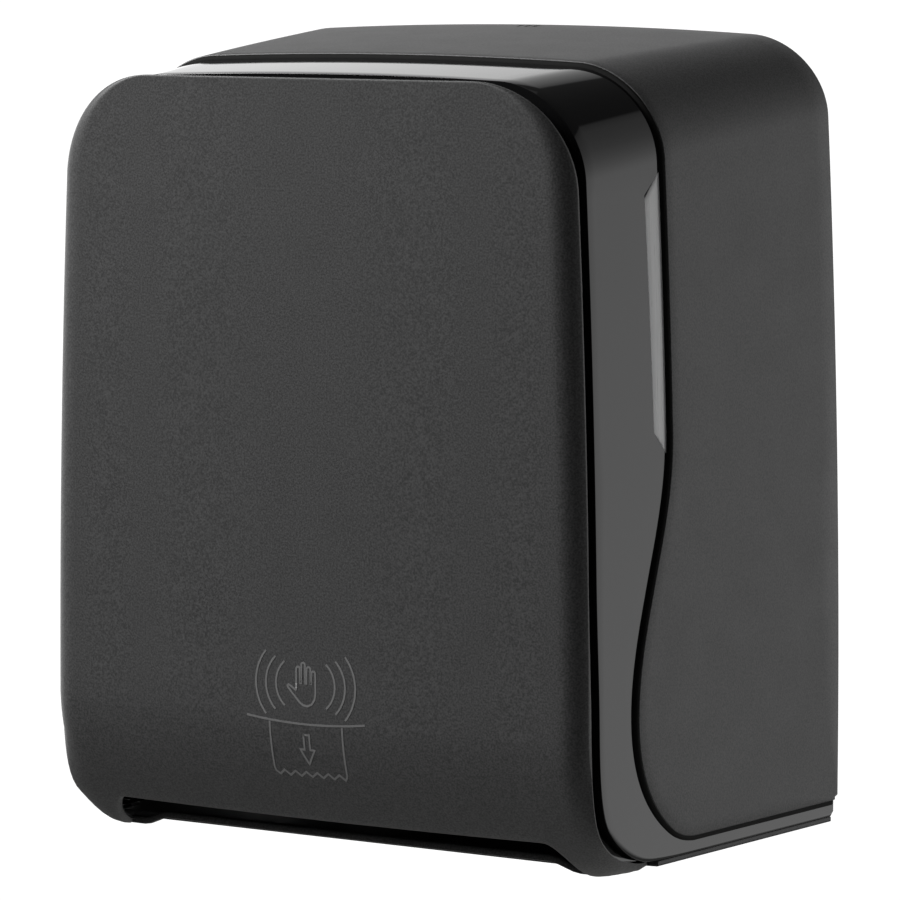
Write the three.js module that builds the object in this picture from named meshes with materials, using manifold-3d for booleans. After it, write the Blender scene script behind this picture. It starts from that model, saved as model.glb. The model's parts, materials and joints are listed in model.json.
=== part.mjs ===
// Wall-mounted touch-free paper towel dispenser.
//
// Millimetres. X to the right, Y into the wall, Z up; the front faces -Y. The wall is the plane y = 0.
// "Depth" is the distance from the wall, -y, and "height" is measured from the level of the cover's
// lower edge; the whole model is then moved down by ORIGIN_HEIGHT, so that the origin is on the back
// plate's rear face at the middle of the object.
import * as THREE from 'three';
import { mergeVertices } from 'three/addons/utils/BufferGeometryUtils.js';
import Module from 'manifold-3d';

const wasm = await Module();
wasm.setup();

// ---------------------------------------------------------------- driving dimensions
const ORIGIN_HEIGHT = 180;
const GAP = 0.3; // between pieces that touch

// Body of the casing: a rounded box that tapers to the front, with bowed sides and a crowned top.
const CASING = {
  halfWidth: 164.4, sideTaper: 0.116, bow: 3.87, bowCentre: 33.1, bowReach: 207.2,
  top: 367, topTaper: 0.086, crown: 5.2, crownReach: 163.7, cornerRadius: 40, cornerGrowth: 0.038,
  rearDepth: 0.5, lowerEdge: 7.2, wall: 2,
};
const SEAM_DEPTH = 131.5; // the casing's front edge over the top and the upper sides
const SEAM_STRAIGHT_FROM = 190; // above this height the side seam is vertical
const BAND_INSET = 2.4; // the gloss band lies this far under the casing's surface
const BAND = { wall: 2.2, underlap: 5, flange: 8, stripFlange: 4, stripTop: 4.4, stripBottom: -0.8 };
const PANEL = {
  face: 203, crown: 2, crownReach: 140, inset: 1.4, cornerRadius: 48, wall: 2.5,
  top: 346.8, bottom: -6, footRear: 145, rollStart: 160, rollEnd: 60,
  sideFillet: 12, topFillet: 1.5, rim: 13.4, footRim: 4.8, topRimDepth: 197.4,
};
const CUTOUT = { flatTo: 111, turn: 15.5, height: 11 }; // level to flatTo, then down to a foot within turn
const WINDOW = { bottom: 178.5, top: 306.2, front: 143.2, chamfer: 10 };
const TRAY = {
  bottom: -2.9, plate: 1.8, rear: 30, lipRear: 162, lipFront: 164.5, lipTop: 1, bow: 1.5, halfLip: 119.5,
};
const LOCK = { halfWidth: 16, rear: 3.6, front: 17, bottom: 353, top: 362.6 };
const KEY_SLOT = { pitch: 4.5, half: 0.9, rear: 5, front: 11 };

const COVER_PIVOT = { depth: 20, height: 4, ear: 4.8, pin: 3, earInner: 152.3, earOuter: 157 };

const PLATE = { halfWidth: 150, bottom: 8, top: 356, thickness: 3, corner: 34, ribDepth: 12 };
const FRAME = { inner: 118, outer: 121 }; // the drive module's two side frames
const FEED = { depth: 118, height: 96, roller: 12, shaft: 4 };
const PINCH = { radius: 8, axle: 3, travel: 3 };
const PINCH_DEPTH = FEED.depth + FEED.roller + PINCH.radius + GAP;
const GEAR = { module: 1.25, feedTeeth: 32, idlerTeeth: 24, pinionTeeth: 12, inner: 122.5, outer: 128.5 };
const BRIDGE = { rear: 154.5, front: 157, bottom: 68, top: 118 };
const CELL = { radius: 16.9, length: 60.5, rows: [23.7, 59.3], height: 90 };
const BOX = { halfWidth: 67, rear: 3.6, front: 79.6, bottom: 70, top: 108, wall: 2.4 };
const ROLL = { depth: 100, height: 250, halfLength: 100, hubPlug: 19, hubFlange: 24 };
const ARM_PIVOT = { x: 110, depth: 10, pin: 2.5, barrel: 5 };

// ---------------------------------------------------------------- materials
const paint = (color, roughness, metalness = 0) =>
  new THREE.MeshStandardMaterial({ color, roughness, metalness });
const casingGrey = paint(0x4a4a4b, 0.55);
const glossBlack = paint(0x16161a, 0.12);
const rubberBlack = paint(0x101010, 0.9);
const smoke = paint(0xa8aaac, 0.3);
const innerBlack = paint(0x1c1c1e, 0.6);
const chassisGrey = paint(0x5c6064, 0.6);
const steel = paint(0xb4b6b8, 0.35, 1);
const nylon = paint(0xdedbd0, 0.5);
const cellSkin = paint(0x2b3138, 0.4, 0.3);
const boardGreen = paint(0x1f5a3a, 0.5);
const lensRed = paint(0x2a0a12, 0.15);
const touchBlue = paint(0x2f6f9f, 0.45);

// ---------------------------------------------------------------- solid helpers
const place = (x, depth, height) => new THREE.Vector3(x, -depth, height);

// The ends, in rising order, of a piece that reaches from inner to outer on one side of the middle.
const span = (side, inner, outer) => (side > 0 ? [inner, outer] : [-outer, -inner]);

function toSolid(geometry) {
  const bare = geometry.clone();
  bare.deleteAttribute('normal');
  bare.deleteAttribute('uv');
  const merged = mergeVertices(bare, 1e-4);
  return new wasm.Manifold(new wasm.Mesh({
    numProp: 3,
    vertProperties: new Float32Array(merged.attributes.position.array),
    triVerts: new Uint32Array(merged.index.array),
  }));
}

function toGeometry(solid) {
  const mesh = solid.getMesh();
  const geometry = new THREE.BufferGeometry();
  geometry.setAttribute('position', new THREE.BufferAttribute(mesh.vertProperties, 3));
  geometry.setIndex(new THREE.BufferAttribute(mesh.triVerts, 1));
  geometry.computeVertexNormals();
  return geometry;
}

const join = (...pieces) => toGeometry(pieces.map(toSolid).reduce((sum, piece) => sum.add(piece)));
const cut = (body, ...tools) =>
  toGeometry(tools.map(toSolid).reduce((rest, tool) => rest.subtract(tool), toSolid(body)));

function block(x0, x1, depth0, depth1, height0, height1) {
  const box = new THREE.BoxGeometry(x1 - x0, depth1 - depth0, height1 - height0);
  return box.translate((x0 + x1) / 2, -(depth0 + depth1) / 2, (height0 + height1) / 2);
}

// A shape drawn in (depth, height), extruded across from x0 to x1.
function acrossPlate(shape, x0, x1) {
  const plate = new THREE.ExtrudeGeometry(shape, { depth: x1 - x0, bevelEnabled: false, curveSegments: 10 });
  const turn = new THREE.Matrix4().makeBasis(
    new THREE.Vector3(0, -1, 0), new THREE.Vector3(0, 0, 1), new THREE.Vector3(-1, 0, 0));
  return plate.applyMatrix4(turn).translate(x1, 0, 0);
}

// A shape drawn in (x, height), extruded forwards from depth0 to depth1.
function facingPlate(shape, depth0, depth1) {
  const settings = { depth: depth1 - depth0, bevelEnabled: false, curveSegments: 5 };
  const plate = new THREE.ExtrudeGeometry(shape, settings);
  const turn = new THREE.Matrix4().makeBasis(
    new THREE.Vector3(1, 0, 0), new THREE.Vector3(0, 0, 1), new THREE.Vector3(0, -1, 0));
  return plate.applyMatrix4(turn).translate(0, -depth0, 0);
}

const polygon = (points) => new THREE.Shape(points.map(([a, b]) => new THREE.Vector2(a, b)));

function circle(centreA, centreB, radius) {
  const shape = new THREE.Shape();
  shape.absarc(centreA, centreB, radius, 0, Math.PI * 2, false);
  return shape;
}

function roundedRectangle(a0, a1, b0, b1, radius) {
  const shape = new THREE.Shape();
  shape.absarc(a1 - radius, b0 + radius, radius, -Math.PI / 2, 0, false);
  shape.absarc(a1 - radius, b1 - radius, radius, 0, Math.PI / 2, false);
  shape.absarc(a0 + radius, b1 - radius, radius, Math.PI / 2, Math.PI, false);
  shape.absarc(a0 + radius, b0 + radius, radius, Math.PI, Math.PI * 1.5, false);
  return shape;
}

// Two round ends joined by their tangents, in (depth, height).
function capsule(a0, b0, a1, b1, radius) {
  const along = Math.atan2(b1 - b0, a1 - a0);
  const shape = new THREE.Shape();
  shape.absarc(a0, b0, radius, along + Math.PI / 2, along + Math.PI * 1.5, false);
  shape.absarc(a1, b1, radius, along - Math.PI / 2, along + Math.PI / 2, false);
  return shape;
}

// A round piece about an axis that runs across: profile of [x, radius] pairs.
function turned(profile, depth, height, segments = 24) {
  const points = [[profile[0][0], 0], ...profile, [profile.at(-1)[0], 0]];
  const lathe = new THREE.LatheGeometry(points.map(([x, r]) => new THREE.Vector2(r, x)), segments);
  return lathe.rotateZ(-Math.PI / 2).translate(0, -depth, height);
}

const rod = (radius, x0, x1, depth, height, segments = 20) =>
  turned([[x0, radius], [x1, radius]], depth, height, segments);

// A round piece about an axis that runs forwards, from depth0 to depth1.
function stud(radius, x, height, depth0, depth1, segments = 20) {
  const cylinder = new THREE.CylinderGeometry(radius, radius, depth1 - depth0, segments);
  return cylinder.translate(x, -(depth0 + depth1) / 2, height);
}

// A round piece about an upright axis.
function post(radius, x, depth, height0, height1, segments = 16) {
  const cylinder = new THREE.CylinderGeometry(radius, radius, height1 - height0, segments);
  return cylinder.rotateX(Math.PI / 2).translate(x, -depth, (height0 + height1) / 2);
}

// A closed sheet between two equal grids of points, one for each face.
function sheet(outer, inner) {
  const rows = outer.length;
  const columns = outer[0].length;
  const positions = [...outer.flat(), ...inner.flat()].flatMap((point) => point.toArray());
  const front = (i, j) => i * columns + j;
  const back = (i, j) => rows * columns + i * columns + j;
  let triangles = [];
  const quad = (a, b, c, d) => triangles.push(a, b, c, a, c, d);
  for (let i = 0; i < rows - 1; i++) {
    for (let j = 0; j < columns - 1; j++) {
      quad(front(i, j), front(i + 1, j), front(i + 1, j + 1), front(i, j + 1));
      quad(back(i, j), back(i, j + 1), back(i + 1, j + 1), back(i + 1, j));
    }
    quad(front(i, 0), back(i, 0), back(i + 1, 0), front(i + 1, 0));
    const last = columns - 1;
    quad(front(i, last), front(i + 1, last), back(i + 1, last), back(i, last));
  }
  for (let j = 0; j < columns - 1; j++) {
    quad(front(0, j), front(0, j + 1), back(0, j + 1), back(0, j));
    quad(front(rows - 1, j), back(rows - 1, j), back(rows - 1, j + 1), front(rows - 1, j + 1));
  }
  if (signedVolume(positions, triangles) < 0) {
    triangles = triangles.toReversed();
  }
  const geometry = new THREE.BufferGeometry();
  geometry.setAttribute('position', new THREE.Float32BufferAttribute(positions, 3));
  geometry.setIndex(triangles);
  geometry.computeVertexNormals();
  return geometry;
}

function signedVolume(positions, triangles) {
  const corner = (index) => new THREE.Vector3().fromArray(positions, index * 3);
  let volume = 0;
  for (let t = 0; t < triangles.length; t += 3) {
    volume += corner(triangles[t]).dot(corner(triangles[t + 1]).cross(corner(triangles[t + 2]))) / 6;
  }
  return volume;
}

// ---------------------------------------------------------------- the casing's surface
const clamp01 = (value) => Math.min(1, Math.max(0, value));
const smooth = (value) => clamp01(value) ** 2 * (3 - 2 * clamp01(value));
const mix = (a, b, t) => a + (b - a) * t;

function section(depth, inset) {
  return {
    half: CASING.halfWidth - CASING.sideTaper * depth - inset,
    top: CASING.top - CASING.topTaper * depth - inset,
    radius: CASING.cornerRadius + CASING.cornerGrowth * depth - inset,
  };
}

// Bows the sides and crowns the top of a plain rounded box.
function shaped(x, height, depth, inset) {
  const { half, top, radius } = section(depth, inset);
  const bow = CASING.bow * ((height - CASING.bowCentre) / CASING.bowReach) ** 2;
  const crown = CASING.crown * (x / CASING.crownReach) ** 2;
  const upper = clamp01((height - (top - radius)) / radius);
  return place(x * (1 - bow / half), depth, height - crown * upper);
}

// Places round the section: 0..1 up a side from SEAM_STRAIGHT_FROM, 1..2 round the corner, and 2..3 to
// the middle of the top.
function roundPoint(side, station, depth, inset) {
  const { half, top, radius } = section(depth, inset);
  const springing = top - radius;
  if (station <= 1) {
    return shaped(side * half, mix(SEAM_STRAIGHT_FROM, springing, station), depth, inset);
  }
  if (station <= 2) {
    const angle = (station - 1) * Math.PI / 2;
    const x = half - radius + radius * Math.cos(angle);
    return shaped(side * x, springing + radius * Math.sin(angle), depth, inset);
  }
  return shaped(side * (half - radius) * (3 - station), top, depth, inset);
}

const sidePoint = (side, depth, height, inset) =>
  shaped(side * section(depth, inset).half, height, depth, inset);

// The seam below SEAM_STRAIGHT_FROM, in (depth, height): it swells forwards, then turns under.
const flat = (a, b) => new THREE.Vector2(a, b);
const curve = (...corners) => new THREE.CubicBezierCurve(...corners.map(([a, b]) => flat(a, b)));
const seamSwell = new THREE.CurvePath();
seamSwell.add(curve([SEAM_DEPTH, SEAM_STRAIGHT_FROM], [131.8, 166], [140.3, 144], [146.3, 126]));
seamSwell.add(curve([146.3, 126], [152.3, 108], [160.6, 88], [160.6, 66]));
const seamTurn = curve([160.6, 66], [160.6, 44], [152, 25], [131.9, 11.8]);
const casingToe = curve([131.9, 11.8], [127, 8.9], [121, CASING.lowerEdge], [114, CASING.lowerEdge]);
const bandToe = curve([131.9, 11.8], [121, 6], [113, BAND.stripTop], [104, BAND.stripTop]);

// The panel's section in (depth, height), from the rear of its feet to its top edge.
const panelProfile = new THREE.CurvePath();
const line = ([a0, b0], [a1, b1]) => new THREE.LineCurve(flat(a0, b0), flat(a1, b1));
panelProfile.add(line([PANEL.footRear, PANEL.bottom], [PANEL.rollStart, PANEL.bottom]));
panelProfile.add(curve([PANEL.rollStart, PANEL.bottom], [173, PANEL.bottom], [182.5, 5.7], [189.3, 16.3]));
panelProfile.add(curve([189.3, 16.3], [196.5, 27.8], [202, 43], [PANEL.face, PANEL.rollEnd]));
panelProfile.add(line([PANEL.face, PANEL.rollEnd], [PANEL.face, PANEL.top]));
const [FOOT_LENGTH, , LOWER_LENGTH, PROFILE_LENGTH] = panelProfile.getCurveLengths();

// A point of the panel's section and its outward normal, at a length along it.
function panelStation(length) {
  const t = clamp01(length / PROFILE_LENGTH);
  const point = panelProfile.getPointAt(t);
  const tangent = panelProfile.getTangentAt(t);
  return { point, normal: flat(tangent.y, -tangent.x) };
}

const rimAt = (length) => mix(PANEL.footRim, PANEL.rim, smooth(length / (FOOT_LENGTH + 27)));

// Stations shared by the panel's rim and the band's edge, as shares of the foot and the roll together.
const LOWER_SHARES = [0, 0.1, 0.2, 0.36, 0.52, 0.68, 0.84, 1];

// Where the gloss band ends on the side, just behind the panel's rim.
function bandEdge(length) {
  const { point, normal } = panelStation(length);
  return point.clone().addScaledVector(normal, -(rimAt(length) + 0.4));
}

// ---------------------------------------------------------------- cover
const SECTION_STATIONS = [1, 1.16, 1.33, 1.5, 1.67, 1.84, 2];

// Mirrors a list of rows, made for the left side, over the top to the right.
function overTheTop(sideRows, roundRow, stations) {
  return [
    ...sideRows(-1),
    ...stations.map((station) => roundRow(-1, station)),
    roundRow(1, 3),
    ...stations.toReversed().map((station) => roundRow(1, station)),
    ...sideRows(1).reverse(),
  ];
}

// Three narrow key slots through the top, near the wall.
function keySlots(bottom, top) {
  const { pitch, half, rear, front } = KEY_SLOT;
  return [-pitch, 0, pitch].map((x) => block(x - half, x + half, rear, front, bottom, top));
}

function rearShell() {
  const steps = [0, 0.33, 0.67, 1];
  const low = [
    ...casingToe.getPoints(3).reverse(),
    ...seamTurn.getPoints(6).reverse().slice(1),
    ...seamSwell.getPoints(5).reverse().slice(1),
  ];
  const build = (inset) => {
    const sideRows = (side) => low.map((seam) =>
      steps.map((t) => sidePoint(side, mix(CASING.rearDepth, seam.x, t), seam.y, inset)));
    const roundRow = (side, station) =>
      steps.map((t) => roundPoint(side, station, mix(CASING.rearDepth, SEAM_DEPTH, t), inset));
    return overTheTop(sideRows, roundRow, [0.5, ...SECTION_STATIONS, 2.5]);
  };
  return cut(sheet(build(0), build(CASING.wall)), ...keySlots(LOCK.top - 2, LOCK.top + 8));
}

// A black rim along the casing's front edge, which fills the step down to the gloss band.
function seamGasket() {
  const ahead = [GAP, GAP + 1.1];
  const low = [...seamTurn.getPoints(6).reverse(), ...seamSwell.getPoints(5).reverse().slice(1)];
  const build = (inset) => {
    const sideRows = (side) => low.map((seam) =>
      ahead.map((step) => sidePoint(side, seam.x + step, seam.y, inset)));
    const roundRow = (side, station) =>
      ahead.map((step) => roundPoint(side, station, SEAM_DEPTH + step, inset));
    return overTheTop(sideRows, roundRow, SECTION_STATIONS);
  };
  return sheet(build(0.2), build(BAND_INSET - 2 * GAP));
}

// The gloss band: from under the casing's edge to the panel, then in along a flange behind the panel.
// Along the foot it narrows to a strip that runs back to the hinge ears.
function trimFrame() {
  const across = [0, 0.33, 0.67, 1];
  const faceEdge = PANEL.face - PANEL.rim - 0.4;
  const build = (thickness) => {
    const rib = (surface, seam, edge, flange, underlap = BAND.underlap) => {
      const away = edge.clone().sub(seam).normalize();
      const start = seam.clone().addScaledVector(away, -underlap);
      const back = edge.clone().addScaledVector(away, -thickness);
      const row = across.map((t) => surface(start.clone().lerp(back, t), BAND_INSET + thickness));
      return [...row, surface(back, BAND_INSET + flange)];
    };
    const sideRows = (side) => {
      const surface = (p, inset) => sidePoint(side, p.x, p.y, inset);
      const rows = [];
      const strip = (depth, edgeDepth, edgeHeight) =>
        rows.push(rib(surface, flat(depth, BAND.stripTop), flat(edgeDepth, edgeHeight), BAND.stripFlange));
      strip(CASING.rearDepth, CASING.rearDepth, BAND.stripBottom + 2);
      strip(CASING.rearDepth + 2, CASING.rearDepth + 2, BAND.stripBottom);
      [36, 72].forEach((depth) => strip(depth, depth, BAND.stripBottom));
      strip(104, 108, BAND.stripBottom);
      const lower = [...bandToe.getPoints(3).reverse().slice(1), ...seamTurn.getPoints(5).reverse().slice(1)];
      LOWER_SHARES.forEach((share, k) => {
        const flange = mix(BAND.stripFlange, BAND.flange, clamp01(k / 3));
        rows.push(rib(surface, lower[k], bandEdge(share * LOWER_LENGTH), flange));
      });
      const swellCount = 5;
      const half = WINDOW.chamfer / 2;
      const low = WINDOW.bottom - half;
      for (let k = 1; k <= swellCount; k++) {
        const seam = seamSwell.getPointAt(1 - 0.84 * k / swellCount);
        const edgeHeight = mix(PANEL.rollEnd, low - 2.5, k / swellCount);
        rows.push(rib(surface, seam, flat(faceEdge, edgeHeight), BAND.flange));
      }
      rows.push(rib(surface, flat(SEAM_DEPTH, low), flat(faceEdge, low), BAND.flange));
      [WINDOW.bottom + half, mix(WINDOW.bottom, WINDOW.top, 0.5), WINDOW.top - half].forEach((height) => {
        rows.push(rib(surface, flat(WINDOW.front + GAP, height), flat(faceEdge, height), BAND.flange, 0));
      });
      return rows;
    };
    const roundRow = (side, station) => {
      const front = mix(faceEdge, PANEL.topRimDepth, smooth(station - 1));
      const surface = (p, inset) => roundPoint(side, station, p.x, inset);
      return rib(surface, flat(SEAM_DEPTH, 0), flat(front, 0), BAND.flange);
    };
    return overTheTop(sideRows, roundRow, SECTION_STATIONS);
  };
  const { depth, height, ear, pin, earInner, earOuter } = COVER_PIVOT;
  const ears = [-1, 1].map((side) => rod(ear, ...span(side, earInner, earOuter), depth, height, 24));
  const holes = [-1, 1].map((side) =>
    rod(pin + GAP, ...span(side, earInner - 1, earInner + 3.2), depth, height));
  return cut(join(sheet(build(0), build(BAND.wall)), ...ears), ...holes);
}

function sideWindow(side) {
  const slope = (WINDOW.front - SEAM_DEPTH + BAND.underlap) / WINDOW.chamfer;
  const rear = SEAM_DEPTH - BAND.underlap + 0.5;
  const half = WINDOW.chamfer / 2;
  const low = WINDOW.bottom - half;
  const high = WINDOW.top + half;
  const shoulder = WINDOW.chamfer + 0.5;
  const heights = [low + 4, low + shoulder, mix(low, high, 0.5), high - shoulder, high - 4];
  const build = (inset) => heights.map((height) => {
    const rise = Math.min(height - low, high - height);
    const front = Math.min(WINDOW.front, SEAM_DEPTH - BAND.underlap + (rise - 0.5) * slope);
    return [0, 0.5, 1].map((t) => sidePoint(side, mix(rear, front, t), height, inset));
  });
  return sheet(build(BAND_INSET), build(BAND_INSET + 1.6));
}

// The front panel. Its outline is the casing's section with wide top corners; the face rounds over to
// the band at the sides and the top, and rolls under at the bottom, with a cut-out between two feet.
function frontPanel() {
  const springing = PANEL.top - PANEL.cornerRadius;
  const sideAt = (height, inset) =>
    sidePoint(1, PANEL.face - PANEL.rim, Math.min(height, springing), PANEL.inset + inset).x;
  const point = (share, length, inset, onRim) => {
    const { point: base, normal } = panelStation(length);
    const side = sideAt(base.y, inset);
    const radius = PANEL.cornerRadius - inset;
    const top = PANEL.top - inset;
    const height = Math.min(base.y, top);
    const rise = Math.max(0, height - springing);
    const half = side - radius + Math.sqrt(Math.max(0, radius ** 2 - rise ** 2));
    const x = share * half;
    const over = Math.max(0, Math.abs(x) - (side - radius));
    const toEdge = rise > 0 ? radius - Math.hypot(over, rise) : side - Math.abs(x);
    const lean = rise > 0 ? smooth(Math.atan2(rise, Math.max(over, 1e-6)) / (Math.PI / 2)) : 0;
    const rim = mix(rimAt(length), PANEL.face - PANEL.topRimDepth - 0.9, lean);
    const widest = Math.min(mix(PANEL.sideFillet, PANEL.topFillet, lean), rim - 0.5);
    const fillet = Math.max(GAP, widest - inset);
    const inward = Math.max(0, fillet - Math.max(0, toEdge));
    const drop = onRim ? rim : fillet - Math.sqrt(Math.max(0, fillet ** 2 - inward ** 2));
    const crown = onRim ? 0 : PANEL.crown * (1 - (x / PANEL.crownReach) ** 2);
    const shift = crown - drop - (onRim ? 0 : inset);
    return place(x, base.x + normal.x * shift, height + normal.y * shift);
  };
  let cutLength = FOOT_LENGTH;
  while (panelStation(cutLength).point.y < CUTOUT.height) cutLength += 0.25;
  const shares = [0, 0.3, 0.6, 0.79, 0.83, 0.86, 0.885, 0.9, 0.92, 0.945, 0.97, 0.99, 1];
  const columns = [...shares.slice(1).reverse().map((s) => -s), ...shares];
  const face = [0.4, 0.8, 0.86, 0.91, 0.95, 0.975, 0.99, 1];
  const build = (inset) => {
    const column = (share, sideRim) => {
      const across = Math.abs(share) * PANEL.crownReach;
      const start = cutLength * Math.sqrt(1 - clamp01((across - CUTOUT.flatTo) / CUTOUT.turn) ** 2);
      const lengths = [
        ...LOWER_SHARES.map((t) => mix(start, LOWER_LENGTH, t)),
        ...face.map((t) => mix(LOWER_LENGTH, PROFILE_LENGTH, t)),
      ];
      const points = lengths.map((length) => point(share, length, inset, sideRim));
      return [...points, point(share, PROFILE_LENGTH, inset, true)];
    };
    return [column(-1, true), ...columns.map((share) => column(share, false)), column(1, true)];
  };
  return sheet(build(0), build(PANEL.wall));
}

// The floor of the cover. Its front edge stands up as the lip behind which the towel hangs out.
function bottomTray() {
  const half = (depth) => sidePoint(1, depth, 0, BAND_INSET + 0.6).x;
  const neck = PANEL.footRear - 1;
  const outline = polygon([
    [-half(TRAY.rear), -TRAY.rear],
    [-half(neck), -neck],
    [-TRAY.halfLip, -neck],
    [-TRAY.halfLip, -TRAY.lipRear - 1],
    [TRAY.halfLip, -TRAY.lipRear - 1],
    [TRAY.halfLip, -neck],
    [half(neck), -neck],
    [half(TRAY.rear), -TRAY.rear],
  ]);
  const plate = new THREE.ExtrudeGeometry(outline, { depth: TRAY.plate, bevelEnabled: false });
  const lip = new THREE.Shape();
  lip.moveTo(-TRAY.halfLip, -TRAY.lipRear);
  lip.lineTo(-TRAY.halfLip, -TRAY.lipFront);
  lip.quadraticCurveTo(0, -TRAY.lipFront - 2 * TRAY.bow, TRAY.halfLip, -TRAY.lipFront);
  lip.lineTo(TRAY.halfLip, -TRAY.lipRear);
  const rise = { depth: TRAY.lipTop - TRAY.bottom, bevelEnabled: false, curveSegments: 10 };
  const edge = new THREE.ExtrudeGeometry(lip, rise);
  return join(plate.translate(0, 0, TRAY.bottom), edge.translate(0, 0, TRAY.bottom));
}

function lockHousing() {
  const body = block(-LOCK.halfWidth, LOCK.halfWidth, LOCK.rear, LOCK.front, LOCK.bottom, LOCK.top);
  const catchRib = block(-10, 10, LOCK.front - 3.5, LOCK.front, LOCK.bottom - 7, LOCK.bottom + 1);
  return cut(join(body, catchRib), ...keySlots(LOCK.bottom + 3, LOCK.top + 1));
}

// ---------------------------------------------------------------- wall plate and hinge
function backPlate() {
  const { halfWidth, bottom, top, thickness, corner, ribDepth } = PLATE;
  const shape = roundedRectangle(-halfWidth, halfWidth, bottom, top, corner);
  for (const [x, height] of [[-92, 300], [92, 300], [-92, 44], [92, 44]]) {
    shape.holes.push(roundedRectangle(x - 3, x + 3, height - 8, height + 8, 2.99));
  }
  const plate = facingPlate(shape, 0, thickness);
  const ribs = [-1, 1].flatMap((side) => {
    const rear = thickness - 1;
    const outer = span(side, halfWidth - 3, halfWidth);
    const edge = block(...outer, rear, ribDepth, bottom + corner, top - corner);
    const inner = block(...span(side, 80, 83), rear, ribDepth - 4, 120, top - 16);
    return [edge, inner];
  });
  const sill = block(-halfWidth + 8, halfWidth - 8, thickness - 1, 28, 0, 2.4);
  const skirt = block(-halfWidth + 8, halfWidth - 8, 0, thickness, 0, bottom + corner);
  return join(plate, skirt, sill, ...ribs);
}

function hingeBracket(side) {
  const { depth, height, pin } = COVER_PIVOT;
  const shape = new THREE.Shape();
  shape.moveTo(3.3, 2.7);
  shape.lineTo(27, 2.7);
  shape.lineTo(27, 8);
  shape.absarc(depth, height + 4, 6, 0, Math.PI / 2, false);
  shape.lineTo(3.3, 34);
  const bore = rod(pin + GAP, ...span(side, 145, 152), depth, height);
  return cut(acrossPlate(shape, ...span(side, 146, 151.6)), bore);
}

const hingePin = (side) =>
  rod(COVER_PIVOT.pin, ...span(side, 146.4, 155), COVER_PIVOT.depth, COVER_PIVOT.height);

// ---------------------------------------------------------------- latch
const LATCH = { depth: 14, height: 334, pin: 2, tip: 345 };

function latchBracket() {
  const ear = polygon([[3.3, 322], [9, 322], [20, 331], [20, 337], [3.3, 337]]);
  const ears = [-1, 1].map((side) => acrossPlate(ear, ...span(side, 11, 14)));
  const pin = rod(LATCH.pin, -14, 14, LATCH.depth, LATCH.height);
  return join(block(-14, 14, 3.3, 6, 322, 337), ...ears, pin);
}

function latchLever() {
  const { depth, height, pin, tip } = LATCH;
  const shape = polygon([
    [depth - 5, height - 5],
    [depth + 3, height - 5],
    [depth + 5, height],
    [depth + 4.5, tip - 0.4],
    [depth + 1.5, tip],
    [depth - 2, tip - 2],
    [depth - 3.5, height + 3],
  ]);
  return cut(acrossPlate(shape, -10.6, 10.6), rod(pin + GAP, -11, 11, depth, height));
}

// ---------------------------------------------------------------- roll holder
const ARM = { inner: 107, outer: 111, boss: 17, root: 34, stub: 5, stubInner: 88 };

function armShape(rootDepth, bossRadius) {
  const shape = new THREE.Shape();
  shape.moveTo(rootDepth, ROLL.height + ARM.root);
  shape.lineTo(rootDepth, ROLL.height - ARM.root);
  shape.lineTo(ROLL.depth - 6, ROLL.height - bossRadius);
  shape.absarc(ROLL.depth, ROLL.height, bossRadius, -Math.PI / 2, Math.PI / 2, false);
  shape.lineTo(rootDepth, ROLL.height + ARM.root);
  return shape;
}

function fixedArm() {
  const rear = PLATE.thickness + GAP;
  const plate = acrossPlate(armShape(rear, ARM.boss), -ARM.outer, -ARM.inner);
  const foot = block(-ARM.outer - 8, -ARM.inner, rear, 7, ROLL.height - ARM.root, ROLL.height + ARM.root);
  return join(plate, foot, rod(ARM.stub, -ARM.inner - 1, -ARM.stubInner, ROLL.depth, ROLL.height));
}

function swingArm() {
  const plate = acrossPlate(armShape(ARM_PIVOT.depth, ARM.boss), ARM.inner, ARM.outer);
  const { x, depth, pin, barrel: radius } = ARM_PIVOT;
  const clear = [-24, 24].map((rise) =>
    block(x - 10, x + 10, depth - 7, depth + 7, ROLL.height + rise - 12, ROLL.height + rise + 12));
  const barrel = post(radius, x, depth, ROLL.height - 11.7, ROLL.height + 11.7);
  const bore = post(pin + GAP, x, depth, ROLL.height - 13, ROLL.height + 13);
  const stub = rod(ARM.stub, ARM.stubInner, ARM.inner + 1, ROLL.depth, ROLL.height);
  return cut(join(plate, barrel, stub), bore, ...clear);
}

// Two knuckles on a foot, above and below the swinging arm's barrel.
function armBracket() {
  const { x, depth, pin, barrel } = ARM_PIVOT;
  const knuckles = [-23, 12].map((rise) => {
    const from = ROLL.height + rise;
    const lug = block(x - barrel, x + barrel, 4, depth, from, from + 11);
    return join(post(barrel, x, depth, from, from + 11), lug);
  });
  const foot = block(x - 8, x + 14, PLATE.thickness + GAP, 4.7, ROLL.height - 26, ROLL.height + 26);
  const spindle = post(pin, x, depth, ROLL.height - 22, ROLL.height + 22);
  return join(foot, spindle, ...knuckles);
}

// A stepped hub that plugs into the roll's core and turns on the arm's stub.
function rollHub(side) {
  const seat = ROLL.halfLength + GAP;
  const profile = [
    [84.5, 15],
    [86, 16.5],
    [seat, ROLL.hubPlug],
    [seat, ROLL.hubFlange],
    [seat + 3, ROLL.hubFlange],
    [seat + 3, 9],
    [106.6, 9],
  ].map(([x, radius]) => [side * x, radius]);
  const solid = turned(side > 0 ? profile : profile.toReversed(), ROLL.depth, ROLL.height, 24);
  return cut(solid, rod(ARM.stub + GAP, ...span(side, 87.6, 107), ROLL.depth, ROLL.height));
}

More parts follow.
